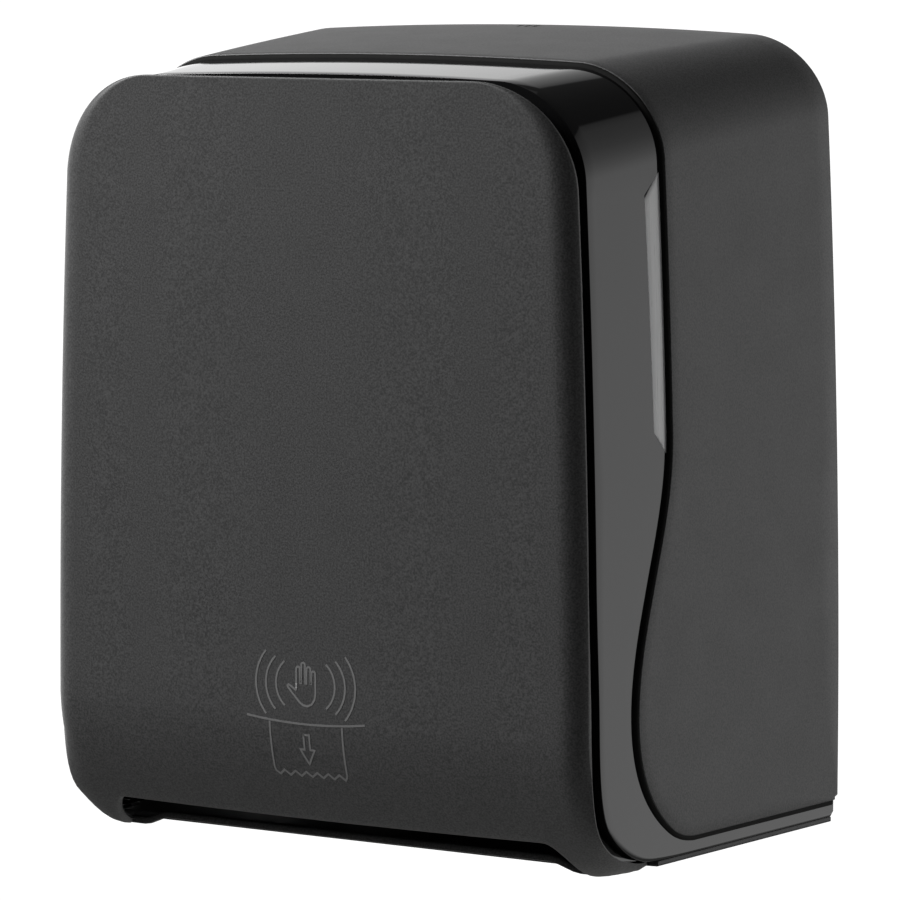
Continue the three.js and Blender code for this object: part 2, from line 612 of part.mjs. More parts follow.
// ---------------------------------------------------------------- drive module
const IDLER = { angle: 230, distance: GEAR.module * (GEAR.feedTeeth + GEAR.idlerTeeth) / 2 };
const PINION = { angle: 220, distance: GEAR.module * (GEAR.idlerTeeth + GEAR.pinionTeeth) / 2 };
const radians = THREE.MathUtils.degToRad;
const meshed = (from, { angle, distance }) =>
  flat(from.x + distance * Math.cos(radians(angle)), from.y + distance * Math.sin(radians(angle)));
const idlerAt = meshed(flat(FEED.depth, FEED.height), IDLER);
const pinionAt = meshed(idlerAt, PINION);

// A spur gear in (depth, height) with slim teeth; firstTooth is the direction of one tooth, in radians.
function gear(teeth, centre, bore, firstTooth) {
  const pitch = GEAR.module * teeth / 2;
  const root = pitch - 1.2 * GEAR.module;
  const tip = pitch + 0.85 * GEAR.module;
  const shape = new THREE.Shape();
  const step = 2 * Math.PI / teeth;
  const profile = [[root, -0.33], [pitch, -0.21], [tip, -0.1], [tip, 0.1], [pitch, 0.21], [root, 0.33]];
  for (let tooth = 0; tooth < teeth; tooth++) {
    for (const [radius, share] of profile) {
      const angle = firstTooth + (tooth + share) * step;
      const point = [centre.x + radius * Math.cos(angle), centre.y + radius * Math.sin(angle)];
      if (tooth === 0 && share === profile[0][1]) shape.moveTo(...point);
      else shape.lineTo(...point);
    }
  }
  const disc = acrossPlate(shape, -GEAR.outer, -GEAR.inner);
  return bore > 0 ? cut(disc, rod(bore, -GEAR.outer - 1, -GEAR.inner + 1, centre.x, centre.y)) : disc;
}

const feedGear = () =>
  gear(GEAR.feedTeeth, flat(FEED.depth, FEED.height), FEED.shaft + GAP, radians(IDLER.angle));

// The idler shows the feed gear a space, and the pinion shows the idler one.
const idlerPhase = radians(IDLER.angle + 180) + Math.PI / GEAR.idlerTeeth;
const idlerGear = () => gear(GEAR.idlerTeeth, idlerAt, 3 + GAP, idlerPhase);

function pinionGear() {
  const step = 2 * Math.PI / GEAR.idlerTeeth;
  const facing = radians(PINION.angle);
  const offset = (facing - idlerPhase) / step - Math.round((facing - idlerPhase) / step);
  const phase = facing + Math.PI + (offset + 0.5) * 2 * Math.PI / GEAR.pinionTeeth;
  return gear(GEAR.pinionTeeth, pinionAt, 2 + GAP, phase);
}

function sideFrame(side) {
  const shape = polygon([
    [3.3, 20],
    [120, 20],
    [BRIDGE.front, 34],
    [BRIDGE.front, BRIDGE.top],
    [104, BRIDGE.top],
    [BOX.front + 2, 106],
    [3.3, 112],
  ]);
  shape.holes.push(circle(FEED.depth, FEED.height, FEED.shaft + GAP));
  if (side < 0) {
    shape.holes.push(circle(pinionAt.x, pinionAt.y, 2.2 + GAP));
  }
  const plate = acrossPlate(shape, ...span(side, FRAME.inner, FRAME.outer));
  const foot = block(...span(side, FRAME.inner - 14, FRAME.inner + 1), PLATE.thickness + GAP, 7.3, 24, 66);
  const stub = rod(3, -GEAR.outer - 0.5, -FRAME.inner - 1, idlerAt.x, idlerAt.y);
  return side < 0 ? join(plate, foot, stub) : join(plate, foot);
}

const feedShaft = () => rod(FEED.shaft, -GEAR.outer - 0.5, FRAME.outer + 0.4, FEED.depth, FEED.height);

function feedSleeve(index) {
  const centre = (index - 1) * 66;
  const profile = [
    [centre - 28, FEED.roller - 1],
    [centre - 27, FEED.roller],
    [centre + 27, FEED.roller],
    [centre + 28, FEED.roller - 1],
  ];
  const bore = rod(FEED.shaft + GAP, centre - 29, centre + 29, FEED.depth, FEED.height);
  return cut(turned(profile, FEED.depth, FEED.height, 22), bore);
}

function pinchRoller() {
  const half = 111;
  const groove = PINCH.radius - 2;
  const profile = [[-half - 4, PINCH.axle], [-half, PINCH.axle]];
  for (let k = -2; k <= 2; k++) {
    const [from, to] = [k * 42 - 18, k * 42 + 18];
    profile.push([from, groove], [from, PINCH.radius], [to, PINCH.radius], [to, groove]);
  }
  profile.push([half, PINCH.axle], [half + 4, PINCH.axle]);
  return turned(profile, PINCH_DEPTH, FEED.height, 18);
}

function pinchCarriage() {
  const bar = block(-115.5, 115.5, 147, 150, FEED.height - 9, FEED.height + 12);
  const ends = [-1, 1].map((side) =>
    block(...span(side, 112.3, 115.5), 131, 148, FEED.height - 7, FEED.height + 7));
  return cut(join(bar, ...ends), rod(PINCH.axle + GAP, -117, 117, PINCH_DEPTH, FEED.height));
}

const guide = (depth0, height0, depth1, height1, thickness, half) => {
  const along = flat(depth1 - depth0, height1 - height0).normalize().multiplyScalar(thickness);
  const shape = polygon([
    [depth0, height0],
    [depth1, height1],
    [depth1 - along.y, height1 + along.x],
    [depth0 - along.y, height0 + along.x],
  ]);
  return acrossPlate(shape, -half, half);
};

const rearChute = () => guide(123.5, 80, 158, 14, 2, 117.4);
const frontChute = () => guide(142.5, 84, 172.5, 27.5, 2, 117.4);

// A serrated strip at the chute's mouth.
function tearBlade() {
  const pitch = 4;
  const count = 26;
  const shape = new THREE.Shape();
  shape.moveTo(-pitch * count, 25);
  for (let k = -count; k < count; k++) {
    shape.lineTo(k * pitch, 15.5);
    shape.lineTo((k + 0.5) * pitch, 13);
  }
  shape.lineTo(pitch * count, 15.5);
  shape.lineTo(pitch * count, 25);
  return facingPlate(shape, 176.4, 177.6);
}

// The module's front cover, with holes for the button's skirt and the lens.
const CONTROLS = { x: 82, height: 101, button: 7, bezel: 9.5, slideHeight: 76, lensX: 52 };

function frontBridge() {
  const { rear, front, bottom, top } = BRIDGE;
  const { x, height, button, bezel, slideHeight } = CONTROLS;
  const half = FRAME.inner - GAP;
  const plate = block(-half, half, rear, front - 0.2, bottom, top);
  const flange = block(-half, half, 140, rear + 1, top - 2.4, top);
  const track = block(x - 12, x + 12, rear - 1, front + 1, slideHeight - 2, slideHeight + 2);
  const collar = stud(bezel, x, height, front - 1, front + 4.5, 28);
  const well = stud(button + GAP, x, height, front, front + 6, 28);
  return cut(join(plate, flange, collar), track, well);
}

const feedButton = () =>
  stud(CONTROLS.button, CONTROLS.x, CONTROLS.height, BRIDGE.front + 2.6, BRIDGE.front + 7.6, 28);

function lengthSwitch() {
  const { x, slideHeight } = CONTROLS;
  const { rear, front } = BRIDGE;
  const knob = block(x - 8, x, front + 0.2, front + 4, slideHeight - 4, slideHeight + 4);
  const tongue = block(x - 6, x - 2, rear - 0.8, front + 0.5, slideHeight - 1.6, slideHeight + 1.6);
  return join(knob, tongue);
}

const statusLens = () => stud(3, CONTROLS.lensX, CONTROLS.height, BRIDGE.front + 0.1, BRIDGE.front + 1.6, 16);

function sensorHousing() {
  const shell = block(-23, 23, BRIDGE.front + 0.1, 184, 64, 92);
  const well = block(-19, 19, 178, 185, 67, 89);
  return cut(shell, well);
}
const sensorLens = () => block(-18.6, 18.6, 178.3, 183.6, 67.4, 88.6);

function batteryBox() {
  const { halfWidth, rear, front, bottom, top, wall } = BOX;
  const inside = halfWidth - wall;
  const cavity = block(-inside, inside, rear + wall, front - wall, bottom + wall, top + 1);
  const notches = [-20, 20].map((x) => block(x - 8, x + 8, front - wall - 1, front + 1, top - 6, top + 1));
  return cut(block(-halfWidth, halfWidth, rear, front, bottom, top), cavity, ...notches);
}

function batteryCell(row, column) {
  const x0 = column === 0 ? -CELL.length - 1.2 : 1.2;
  const cap = 3;
  const shoulder = x0 + CELL.length - cap;
  const profile = [
    [x0, CELL.radius - 1],
    [x0 + 1, CELL.radius],
    [shoulder - 1, CELL.radius],
    [shoulder, CELL.radius - 1],
    [shoulder, 5],
    [shoulder + cap, 5],
  ];
  return turned(profile, CELL.rows[row], CELL.height - GAP, 20);
}

const LID = { pivotDepth: 7, pivotHeight: 111.5, barrel: 2.6, rod: 1.2, lugInner: 58, lugOuter: 63 };

function batteryLid() {
  const { halfWidth, front, top } = BOX;
  const { pivotDepth, pivotHeight, lugInner, lugOuter } = LID;
  const plate = block(-halfWidth, halfWidth, pivotDepth, front, top + GAP, top + 2.3);
  const barrel = rod(LID.barrel, -halfWidth + 10, halfWidth - 10, pivotDepth, pivotHeight, 16);
  const tab = block(-10, 10, front - 1, front + 4, top + GAP, top + 2.3);
  const ribs = [-40, 0, 40].map((x) => block(x - 1, x + 1, pivotDepth + 1, front - 6, top + 2, top + 4));
  const bore = rod(LID.rod + GAP, -halfWidth, halfWidth, pivotDepth, pivotHeight, 12);
  const lugNotches = [-1, 1].map((side) =>
    block(...span(side, lugInner - 1, lugOuter + 1), pivotDepth - 1, pivotDepth + 5, top, top + 3));
  return cut(join(plate, barrel, tab, ...ribs), bore, ...lugNotches);
}

// The lid's rod, held at both ends by lugs from the back plate.
function lidRod() {
  const { pivotDepth, pivotHeight, lugInner, lugOuter } = LID;
  const top = pivotHeight + LID.barrel;
  const lugs = [-1, 1].map((side) =>
    block(...span(side, lugInner, lugOuter), PLATE.thickness + GAP, pivotDepth + 2, BOX.top + 3, top));
  return join(rod(LID.rod, -lugOuter + 1, lugOuter - 1, pivotDepth, pivotHeight, 12), ...lugs);
}

const contactPlate = (side) =>
  block(...span(side, 62.6, 63.4), CELL.rows[0] - 8, CELL.rows[1] + 8, CELL.height - 9, CELL.height + 9);

const motorCan = () => turned(
  [[-92, 6], [-92, 13.6], [-46, 13.6], [-44, 12.6], [-44, 4], [-41, 4]], pinionAt.x, pinionAt.y, 28);

function gearbox() {
  const body = turned([[-FRAME.inner + GAP, 14], [-92.4, 14]], pinionAt.x, pinionAt.y, 28);
  return join(body, rod(2, -GEAR.outer - 0.3, -FRAME.inner + 1, pinionAt.x, pinionAt.y));
}

function gearCover() {
  const outline = (radius) => capsule(FEED.depth, FEED.height, pinionAt.x, pinionAt.y, radius);
  const outer = acrossPlate(outline(25.5), -133, -FRAME.outer - GAP);
  return cut(outer, acrossPlate(outline(23.7), -131, -FRAME.outer + 1));
}

function controlBox() {
  const outer = block(FRAME.outer + GAP, 134, 26, 106, 28, 90);
  return cut(outer, block(FRAME.outer, 132, 28, 104, 30, 88));
}

function controlBoard() {
  const board = block(123, 124.6, 30, 102, 32, 86);
  const chips = [[44, 50, 8], [66, 70, 6], [86, 46, 7], [52, 74, 5]].map(([depth, height, half]) =>
    block(124.2, 127, depth - half, depth + half, height - half, height + half));
  return join(board, ...chips);
}

// A pan-head screw that holds the module to the back plate.
function moduleScrew(x, height) {
  const head = stud(3.6, x, height, 7.6, 9.6, 16);
  return cut(head, block(x - 2.6, x + 2.6, 8.8, 10, height - 0.5, height + 0.5),
    block(x - 0.5, x + 0.5, 8.8, 10, height - 2.6, height + 2.6));
}

// ---------------------------------------------------------------- assembly
const dispenser = new THREE.Group();
const model = new THREE.Group();
model.position.z = -ORIGIN_HEIGHT;
dispenser.add(model);

function add(name, geometry, material) {
  const mesh = new THREE.Mesh(geometry, material);
  mesh.name = name;
  model.add(mesh);
}

const SIDES = [['left', -1], ['right', 1]];

add('rear_shell', rearShell(), casingGrey);
add('seam_gasket', seamGasket(), rubberBlack);
add('trim_frame', trimFrame(), glossBlack);
add('front_panel', frontPanel(), casingGrey);
add('bottom_tray', bottomTray(), innerBlack);
add('lock_housing', lockHousing(), innerBlack);
add('back_plate', backPlate(), chassisGrey);
for (const [name, side] of SIDES) {
  add(`window_${name}`, sideWindow(side), smoke);
  add(`hinge_bracket_${name}`, hingeBracket(side), innerBlack);
  add(`hinge_pin_${name}`, hingePin(side), steel);
  add(`roll_hub_${name}`, rollHub(side), touchBlue);
  add(`side_frame_${name}`, sideFrame(side), innerBlack);
  add(`contact_plate_${name}`, contactPlate(side), steel);
  [34, 56].forEach((height, index) => {
    add(`module_screw_${name}_${index + 1}`, moduleScrew(side * 111, height), steel);
  });
}
add('latch_bracket', latchBracket(), innerBlack);
add('latch_lever', latchLever(), touchBlue);
add('roll_arm_fixed', fixedArm(), innerBlack);
add('roll_arm_swing', swingArm(), innerBlack);
add('arm_bracket', armBracket(), chassisGrey);
add('feed_shaft', feedShaft(), steel);
[0, 1, 2].forEach((index) => add(`feed_sleeve_${index + 1}`, feedSleeve(index), rubberBlack));
add('feed_gear', feedGear(), nylon);
add('idler_gear', idlerGear(), nylon);
add('motor_pinion', pinionGear(), nylon);
add('pinch_roller', pinchRoller(), chassisGrey);
add('pinch_carriage', pinchCarriage(), innerBlack);
add('chute_rear', rearChute(), innerBlack);
add('chute_front', frontChute(), innerBlack);
add('tear_blade', tearBlade(), steel);
add('front_bridge', frontBridge(), innerBlack);
add('feed_button', feedButton(), touchBlue);
add('length_switch', lengthSwitch(), nylon);
add('status_lens', statusLens(), smoke);
add('sensor_housing', sensorHousing(), innerBlack);
add('sensor_lens', sensorLens(), lensRed);
add('battery_box', batteryBox(), innerBlack);
[0, 1, 2, 3].forEach((index) => {
  const row = Math.floor(index / 2);
  add(`battery_cell_${index + 1}`, batteryCell(row, index % 2), cellSkin);
});
add('battery_lid', batteryLid(), innerBlack);
add('lid_rod', lidRod(), innerBlack);
add('motor_can', motorCan(), steel);
add('gearbox', gearbox(), chassisGrey);
add('gear_cover', gearCover(), innerBlack);
add('control_box', controlBox(), innerBlack);
add('control_board', controlBoard(), boardGreen);

export default dispenser;
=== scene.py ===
"""Wall-mounted touch-free paper towel dispenser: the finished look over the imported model.

Shapes are written in millimetres: x to the right, depth forwards from the wall, and height above the
level of the cover's lower edge. place() turns them into the model's own frame, in metres.
"""

import json
import math
from bisect import bisect
from functools import cache

import bmesh
import bpy
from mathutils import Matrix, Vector


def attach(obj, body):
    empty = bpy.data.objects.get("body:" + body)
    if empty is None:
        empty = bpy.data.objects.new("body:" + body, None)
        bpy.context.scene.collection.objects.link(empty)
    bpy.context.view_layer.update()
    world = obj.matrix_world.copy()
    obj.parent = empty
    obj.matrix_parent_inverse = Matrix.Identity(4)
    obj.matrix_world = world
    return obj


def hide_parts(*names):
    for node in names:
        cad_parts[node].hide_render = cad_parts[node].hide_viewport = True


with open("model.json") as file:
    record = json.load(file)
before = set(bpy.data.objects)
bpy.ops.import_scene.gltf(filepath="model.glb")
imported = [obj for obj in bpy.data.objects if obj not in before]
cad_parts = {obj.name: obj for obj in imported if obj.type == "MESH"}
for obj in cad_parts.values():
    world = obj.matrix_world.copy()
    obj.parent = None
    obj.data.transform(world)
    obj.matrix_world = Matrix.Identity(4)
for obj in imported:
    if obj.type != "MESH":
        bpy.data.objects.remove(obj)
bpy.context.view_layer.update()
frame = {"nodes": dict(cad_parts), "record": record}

ORIGIN_HEIGHT = 180
DEPTH = 205
HALF_WIDTH = 164.4
SIDE_TAPER = 0.116
SIDE_BOW = 3.87
BOW_MIDDLE = 33.1
BOW_REACH = 207.2
TOP_HEIGHT = 367
TOP_SLOPE = 0.086
TOP_SWELL = 0.8
TOP_CROWN = 5.2
TOP_REACH = 163.7
CORNER_RADIUS = 40
CORNER_GROWTH = 0.038
STRAIGHT_FROM = 190
SEAM_DEPTH = 131.5
CASING_REAR = 0.5
CASING_LOWER = 7.2
CASING_WALL = 2
BAND_INSET = 2.4
BAND_WALL = 2.2
LEDGE = 10
LEDGE_AT_TOP = 13.5
LEDGE_INSET = BAND_INSET + 6
LEDGE_WALL = 1.6
PANEL_FACE = 202.8
FACE_START = 60
PANEL_CROWN = 2
PANEL_TOP = 347.3
PANEL_CORNER = 50
PANEL_INSET = 1.3
PANEL_RIM = 7.1
TOP_RIM = 1.2
PANEL_FOOT = -6
SIDE_FILLET = 14
ROLL_FILLET = 17
FOOT_FILLET = 5
TOP_FILLET = 0.5
FILLET_TURN = math.radians(56)
RIM_GAP_AT_FOOT = 0.8
RIM_GAP = 8.9
PANEL_WALL = 2.5
CROWN_REACH = 140
WINDOW_BOTTOM = 182.5
WINDOW_TOP = 305.5
WINDOW_FRONT = 143.1
WINDOW_CHAMFER = 18


# ---------------------------------------------------------------- numbers and curves
def place(x, depth, height):
    """Millimetres in the layout's terms to a point in the model's frame, in metres."""
    return Vector((x, -depth, height - ORIGIN_HEIGHT)) / 1000


def mix(a, b, share):
    return a + (b - a) * share


def clamp01(value):
    return min(1.0, max(0.0, value))


def smooth(value):
    share = clamp01(value)
    return share * share * (3 - 2 * share)


def steps(count, start=0.0, end=1.0):
    """count + 1 even values from start to end."""
    return [mix(start, end, k / count) for k in range(count + 1)]


class Path:
    """Cubic curves end to end in (depth, height), read by their length."""

    def __init__(self, *curves):
        self.points = []
        for curve in curves:
            a, b, c, d = (Vector(corner) for corner in curve)
            for t in steps(160)[1 if self.points else 0:]:
                u = 1 - t
                self.points.append(a * u**3 + b * 3 * u * u * t + c * 3 * u * t * t + d * t**3)
        self.marks = [0.0]
        for a, b in zip(self.points, self.points[1:]):
            self.marks.append(self.marks[-1] + (b - a).length)
        self.length = self.marks[-1]

    def at(self, length):
        """The point at that length, and the direction of travel there."""
        length = min(max(length, 0.0), self.length)
        k = min(bisect(self.marks, length), len(self.marks) - 1)
        a, b = self.points[k - 1], self.points[k]
        share = (length - self.marks[k - 1]) / (self.marks[k] - self.marks[k - 1])
        return a.lerp(b, share), (b - a).normalized()

    def share(self, value):
        return self.at(value * self.length)


def straight(a, b):
    a, b = Vector(a), Vector(b)
    return a, a.lerp(b, 1 / 3), a.lerp(b, 2 / 3), b


# The casing's front edge on the side, from its lower edge upwards: it turns up, swells, then stands.
casing_toe = Path([(114, CASING_LOWER), (121, CASING_LOWER), (127, 8.9), (131.9, 11.8)])
band_toe = Path([(104, 4.4), (113, 4.4), (121, 6), (131.9, 11.8)])
seam_turn = Path([(131.9, 11.8), (151.4, 25), (159.3, 44), (159.3, 66)])
seam_swell = Path(
    [(159.3, 66), (159.3, 88), (152, 108), (146.3, 126)],
    [(146.3, 126), (140.3, 144), (131.8, 166), (SEAM_DEPTH, STRAIGHT_FROM)],
)

# The gloss band's other edge, which runs along the foot and turns up beside the panel.
FACE_EDGE = 187
heel_edge = Path([(108, -0.8), (122, -0.8), (136, -1.0), (147, -0.2)])
turn_edge = Path(
    [(147, -0.2), (158, 0.7), (170, 8), (177.5, 17)],
    [(177.5, 17), (183.5, 24), (185.2, 40), (185.4, 62)],
)
front_edge = Path(
    [(185.4, 62), (185.6, 85), (FACE_EDGE, 105), (FACE_EDGE, 130)],
    straight((FACE_EDGE, 130), (FACE_EDGE, 171)),
)

# The panel's section, from the rear of its feet, round the roll and up the face.
FOOT_CURVE = [(141, -3.3), (141.6, -5.2), (146, PANEL_FOOT), (160, PANEL_FOOT)]
ROLL_CURVES = [
    [(160, PANEL_FOOT), (173, PANEL_FOOT), (182.5, 5.7), (189.3, 16.3)],
    [(189.3, 16.3), (196.5, 27.8), (202, 43), (PANEL_FACE, FACE_START)],
]
panel_lower = Path(FOOT_CURVE, *ROLL_CURVES)
panel_face = straight((PANEL_FACE, FACE_START), (PANEL_FACE, PANEL_TOP))
panel_profile = Path(FOOT_CURVE, *ROLL_CURVES, panel_face)
LOWER_LENGTH = panel_lower.length


# ---------------------------------------------------------------- the casing's surface
def section(depth, inset):
    """Half the width, the top's height and the corner's radius at a depth, that far under the surface."""
    half = HALF_WIDTH - SIDE_TAPER * depth - inset
    top = TOP_HEIGHT - TOP_SLOPE * depth + TOP_SWELL * math.sin(math.pi * depth / DEPTH) - inset
    radius = CORNER_RADIUS + CORNER_GROWTH * depth - inset
    return half, top, radius


def shaped(x, height, depth, inset):
    """Bows the sides and crowns the top of a plain rounded box."""
    half, top, radius = section(depth, inset)
    bow = SIDE_BOW * ((height - BOW_MIDDLE) / BOW_REACH) ** 2
    crown = TOP_CROWN * (x / TOP_REACH) ** 2
    upper = clamp01((height - (top - radius)) / radius)
    return place(x * (1 - bow / half), depth, height - crown * upper)


def side_point(side, depth, height, inset):
    return shaped(side * section(depth, inset)[0], height, depth, inset)


def round_point(side, station, depth, inset):
    """0..1 runs up a side from STRAIGHT_FROM, 1..2 round the corner, 2..3 to the middle of the top."""
    half, top, radius = section(depth, inset)
    springing = top - radius
    if station <= 1:
        return shaped(side * half, mix(STRAIGHT_FROM, springing, station), depth, inset)
    if station <= 2:
        angle = (station - 1) * math.pi / 2
        x = half - radius + radius * math.cos(angle)
        return shaped(side * x, springing + radius * math.sin(angle), depth, inset)
    return shaped(side * (half - radius) * (3 - station), top, depth, inset)


ROUND_STATIONS = steps(6, 0.15, 1)[:-1] + steps(22, 1, 2) + steps(12, 2, 3)[1:-1]


def over_the_top(side_rows, round_row, stations=ROUND_STATIONS):
    """Rows from the left side's foot, over the top, to the right side's foot."""
    left = side_rows(-1) + [round_row(-1, station) for station in stations]
    right = side_rows(1) + [round_row(1, station) for station in stations]
    return left + [round_row(1, 3)] + right[::-1]


# ---------------------------------------------------------------- mesh building
def skin(rows):
    """A closed skin through rows of (outer, inner) pairs of points."""
    count = len(rows)
    columns = len(rows[0])
    points = [pair[face] for face in (0, 1) for row in rows for pair in row]

    def outer(i, j):
        return i * columns + j

    def inner(i, j):
        return (count + i) * columns + j

    faces = []
    for i in range(count - 1):
        for j in range(columns - 1):
            faces.append((outer(i, j), outer(i + 1, j), outer(i + 1, j + 1), outer(i, j + 1)))
            faces.append((inner(i, j), inner(i, j + 1), inner(i + 1, j + 1), inner(i + 1, j)))
        for j in (0, columns - 1):
            faces.append((outer(i, j), inner(i, j), inner(i + 1, j), outer(i + 1, j)))
    for j in range(columns - 1):
        for i in (0, count - 1):
            faces.append((outer(i, j), outer(i, j + 1), inner(i, j + 1), inner(i, j)))
    return points, faces


def build(name, parts, material, body, sharp=35):
    """One object from closed skins, smooth except at its real edges."""
    mesh = bpy.data.meshes.new(name)
    shape = bmesh.new()
    for points, faces in parts:
        corners = [shape.verts.new(point) for point in points]
        for face in faces:
            shape.faces.new([corners[index] for index in face])
    bmesh.ops.remove_doubles(shape, verts=shape.verts, dist=2e-6)
    bmesh.ops.dissolve_degenerate(shape, edges=shape.edges, dist=1e-6)
    bmesh.ops.recalc_face_normals(shape, faces=shape.faces)
    shape.to_mesh(mesh)
    shape.free()
    mesh.shade_smooth()
    mesh.set_sharp_from_angle(angle=math.radians(sharp))
    mesh.materials.append(material)
    piece = bpy.data.objects.new(name, mesh)
    bpy.context.scene.collection.objects.link(piece)
    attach(piece, body)
    return piece


def ring(x0, x1, inner_radius, outer_radius, depth, height, bevel, segments=48):
    """A bored disc about an axis that runs across, with its outer corners broken."""
    broken = outer_radius - bevel
    profile = [(x0, broken), (x0 + bevel, outer_radius), (x1 - bevel, outer_radius), (x1, broken)]
    rows = []
    for k in range(segments + 1):
        angle = 2 * math.pi * k / segments

        def point(x, radius):
            return place(x, depth + radius * math.cos(angle), height + radius * math.sin(angle))

        rows.append([(point(x, radius), point(x, inner_radius)) for x, radius in profile])
    return skin(rows)


# ---------------------------------------------------------------- materials
def new_material(name):
    material = bpy.data.materials.new(name)
    material.use_nodes = True
    nodes = material.node_tree.nodes
    links = material.node_tree.links
    shader = nodes["Principled BSDF"]
    where = nodes.new("ShaderNodeTexCoord").outputs["Object"]
    return material, nodes, links, shader, where


def stretched(nodes, links, where, scale):
    mapping = nodes.new("ShaderNodeMapping")
    mapping.inputs["Scale"].default_value = scale
    links.new(where, mapping.inputs["Vector"])
    return mapping.outputs["Vector"]


def noise(nodes, links, vector, scale, detail=2.0, roughness=0.5):
    texture = nodes.new("ShaderNodeTexNoise")
    texture.inputs["Scale"].default_value = scale
    texture.inputs["Detail"].default_value = detail
    texture.inputs["Roughness"].default_value = roughness
    links.new(vector, texture.inputs["Vector"])
    return texture.outputs["Fac"]


def spread(nodes, links, value, low, high, source=(0.3, 0.7)):
    """Maps a texture's middle values to a range."""
    node = nodes.new("ShaderNodeMapRange")
    node.inputs["From Min"].default_value = source[0]
    node.inputs["From Max"].default_value = source[1]
    node.inputs["To Min"].default_value = low
    node.inputs["To Max"].default_value = high
    links.new(value, node.inputs["Value"])
    return node.outputs["Result"]


def tint(nodes, links, value, colour, variation):
    """The colour, darker and lighter by that share as value goes from 0 to 1."""
    ramp = nodes.new("ShaderNodeValToRGB")
    for element, factor in zip(ramp.color_ramp.elements, (1 - variation, 1 + variation)):
        element.color = (*[channel * factor for channel in colour], 1)
    ramp.color_ramp.elements[0].position = 0.3
    ramp.color_ramp.elements[1].position = 0.7
    links.new(value, ramp.inputs["Fac"])
    return ramp.outputs["Color"]


def bump(nodes, links, shader, height, distance, strength=1.0):
    node = nodes.new("ShaderNodeBump")
    node.inputs["Strength"].default_value = strength
    node.inputs["Distance"].default_value = distance
    links.new(height, node.inputs["Height"])
    links.new(node.outputs["Normal"], shader.inputs["Normal"])


def moulded(name, colour, roughness, grain, depth, variation=0.08, specular=0.5):
    """Moulded plastic: a fine grain in its surface, its colour and its roughness."""
    material, nodes, links, shader, where = new_material(name)
    fine = noise(nodes, links, where, 1000 / grain, 1.0, 0.4)
    broad = noise(nodes, links, where, 45, 3.0)
    links.new(tint(nodes, links, fine, colour, variation), shader.inputs["Base Color"])
    uneven = spread(nodes, links, broad, roughness - 0.015, roughness + 0.015)
    links.new(uneven, shader.inputs["Roughness"])
    bump(nodes, links, shader, fine, depth / 1000)
    shader.inputs["Specular IOR Level"].default_value = specular
    return material


def polished(name, colour, roughness, specular=0.5):
    """Gloss plastic: nearly even, with the faint waviness of a polished mould."""
    material, nodes, links, shader, where = new_material(name)
    waves = noise(nodes, links, where, 38, 2.0)
    smears = noise(nodes, links, where, 14, 4.0, 0.6)
    links.new(tint(nodes, links, smears, colour, 0.12), shader.inputs["Base Color"])
    links.new(spread(nodes, links, smears, roughness * 0.8, roughness * 1.35), shader.inputs["Roughness"])
    bump(nodes, links, shader, waves, 0.00001)
    shader.inputs["Specular IOR Level"].default_value = specular
    return material


def brushed(name, colour, roughness, direction=(60, 900, 900)):
    """Metal with fine lines along x."""
    material, nodes, links, shader, where = new_material(name)
    lines = noise(nodes, links, stretched(nodes, links, where, direction), 1.0, 3.0, 0.6)
    links.new(tint(nodes, links, lines, colour, 0.12), shader.inputs["Base Color"])
    links.new(spread(nodes, links, lines, roughness - 0.07, roughness + 0.09), shader.inputs["Roughness"])
    bump(nodes, links, shader, lines, 0.00002)
    shader.inputs["Metallic"].default_value = 1.0
    return material


def smoked(name, colour, roughness):
    """Translucent plastic with fine upright drag lines."""
    material, nodes, links, shader, where = new_material(name)
    lines = noise(nodes, links, stretched(nodes, links, where, (700, 700, 12)), 1.0, 2.0, 0.6)
    links.new(tint(nodes, links, lines, colour, 0.14), shader.inputs["Base Color"])
    links.new(spread(nodes, links, lines, roughness - 0.05, roughness + 0.1), shader.inputs["Roughness"])
    bump(nodes, links, shader, lines, 0.00002)
    shader.inputs["Transmission Weight"].default_value = 0.15
    shader.inputs["Specular IOR Level"].default_value = 0.8
    shader.inputs["Coat Weight"].default_value = 1.0
    shader.inputs["Coat Roughness"].default_value = 0.15
    return material


slot_materials = {
    "casing": moulded("casing_grain", (0.052, 0.052, 0.0525), 0.5, 0.85, 0.05, 0.42),
    "gloss_trim": polished("gloss_black", (0.006, 0.006, 0.0063), 0.035),
    "rubber": moulded("rubber_black", (0.006, 0.006, 0.0058), 0.75, 0.5, 0.02, 0.1, 0.15),
    "window": smoked("window_smoke", (0.36, 0.363, 0.366), 0.3),
    "inner_plastic": moulded("inner_black", (0.022, 0.022, 0.024), 0.5, 0.7, 0.02),
    "chassis_plastic": moulded("chassis_grey", (0.10, 0.105, 0.11), 0.52, 0.7, 0.02),
    "steel": brushed("brushed_steel", (0.56, 0.57, 0.58), 0.3),
    "nylon": moulded("nylon_natural", (0.72, 0.70, 0.64), 0.42, 0.9, 0.01, 0.03),
    "cell": brushed("cell_sleeve", (0.05, 0.06, 0.075), 0.35),
    "board": moulded("board_mask", (0.02, 0.10, 0.045), 0.35, 1.4, 0.02, 0.2),
    "sensor_lens": polished("sensor_red", (0.02, 0.004, 0.006), 0.06),
    "touch_point": moulded("touch_blue", (0.03, 0.13, 0.30), 0.45, 0.6, 0.015, 0.05),
}
print_grey = moulded("print_grey", (0.17, 0.17, 0.17), 0.5, 0.6, 0.01, 0.06)

# ---------------------------------------------------------------- casing
# Distance back from an edge, and how far the outer and the inner face leave the surface there.
CASING_RIM = [(0.6, 0.0), (0.2, 0.12), (0.0, 0.45)]


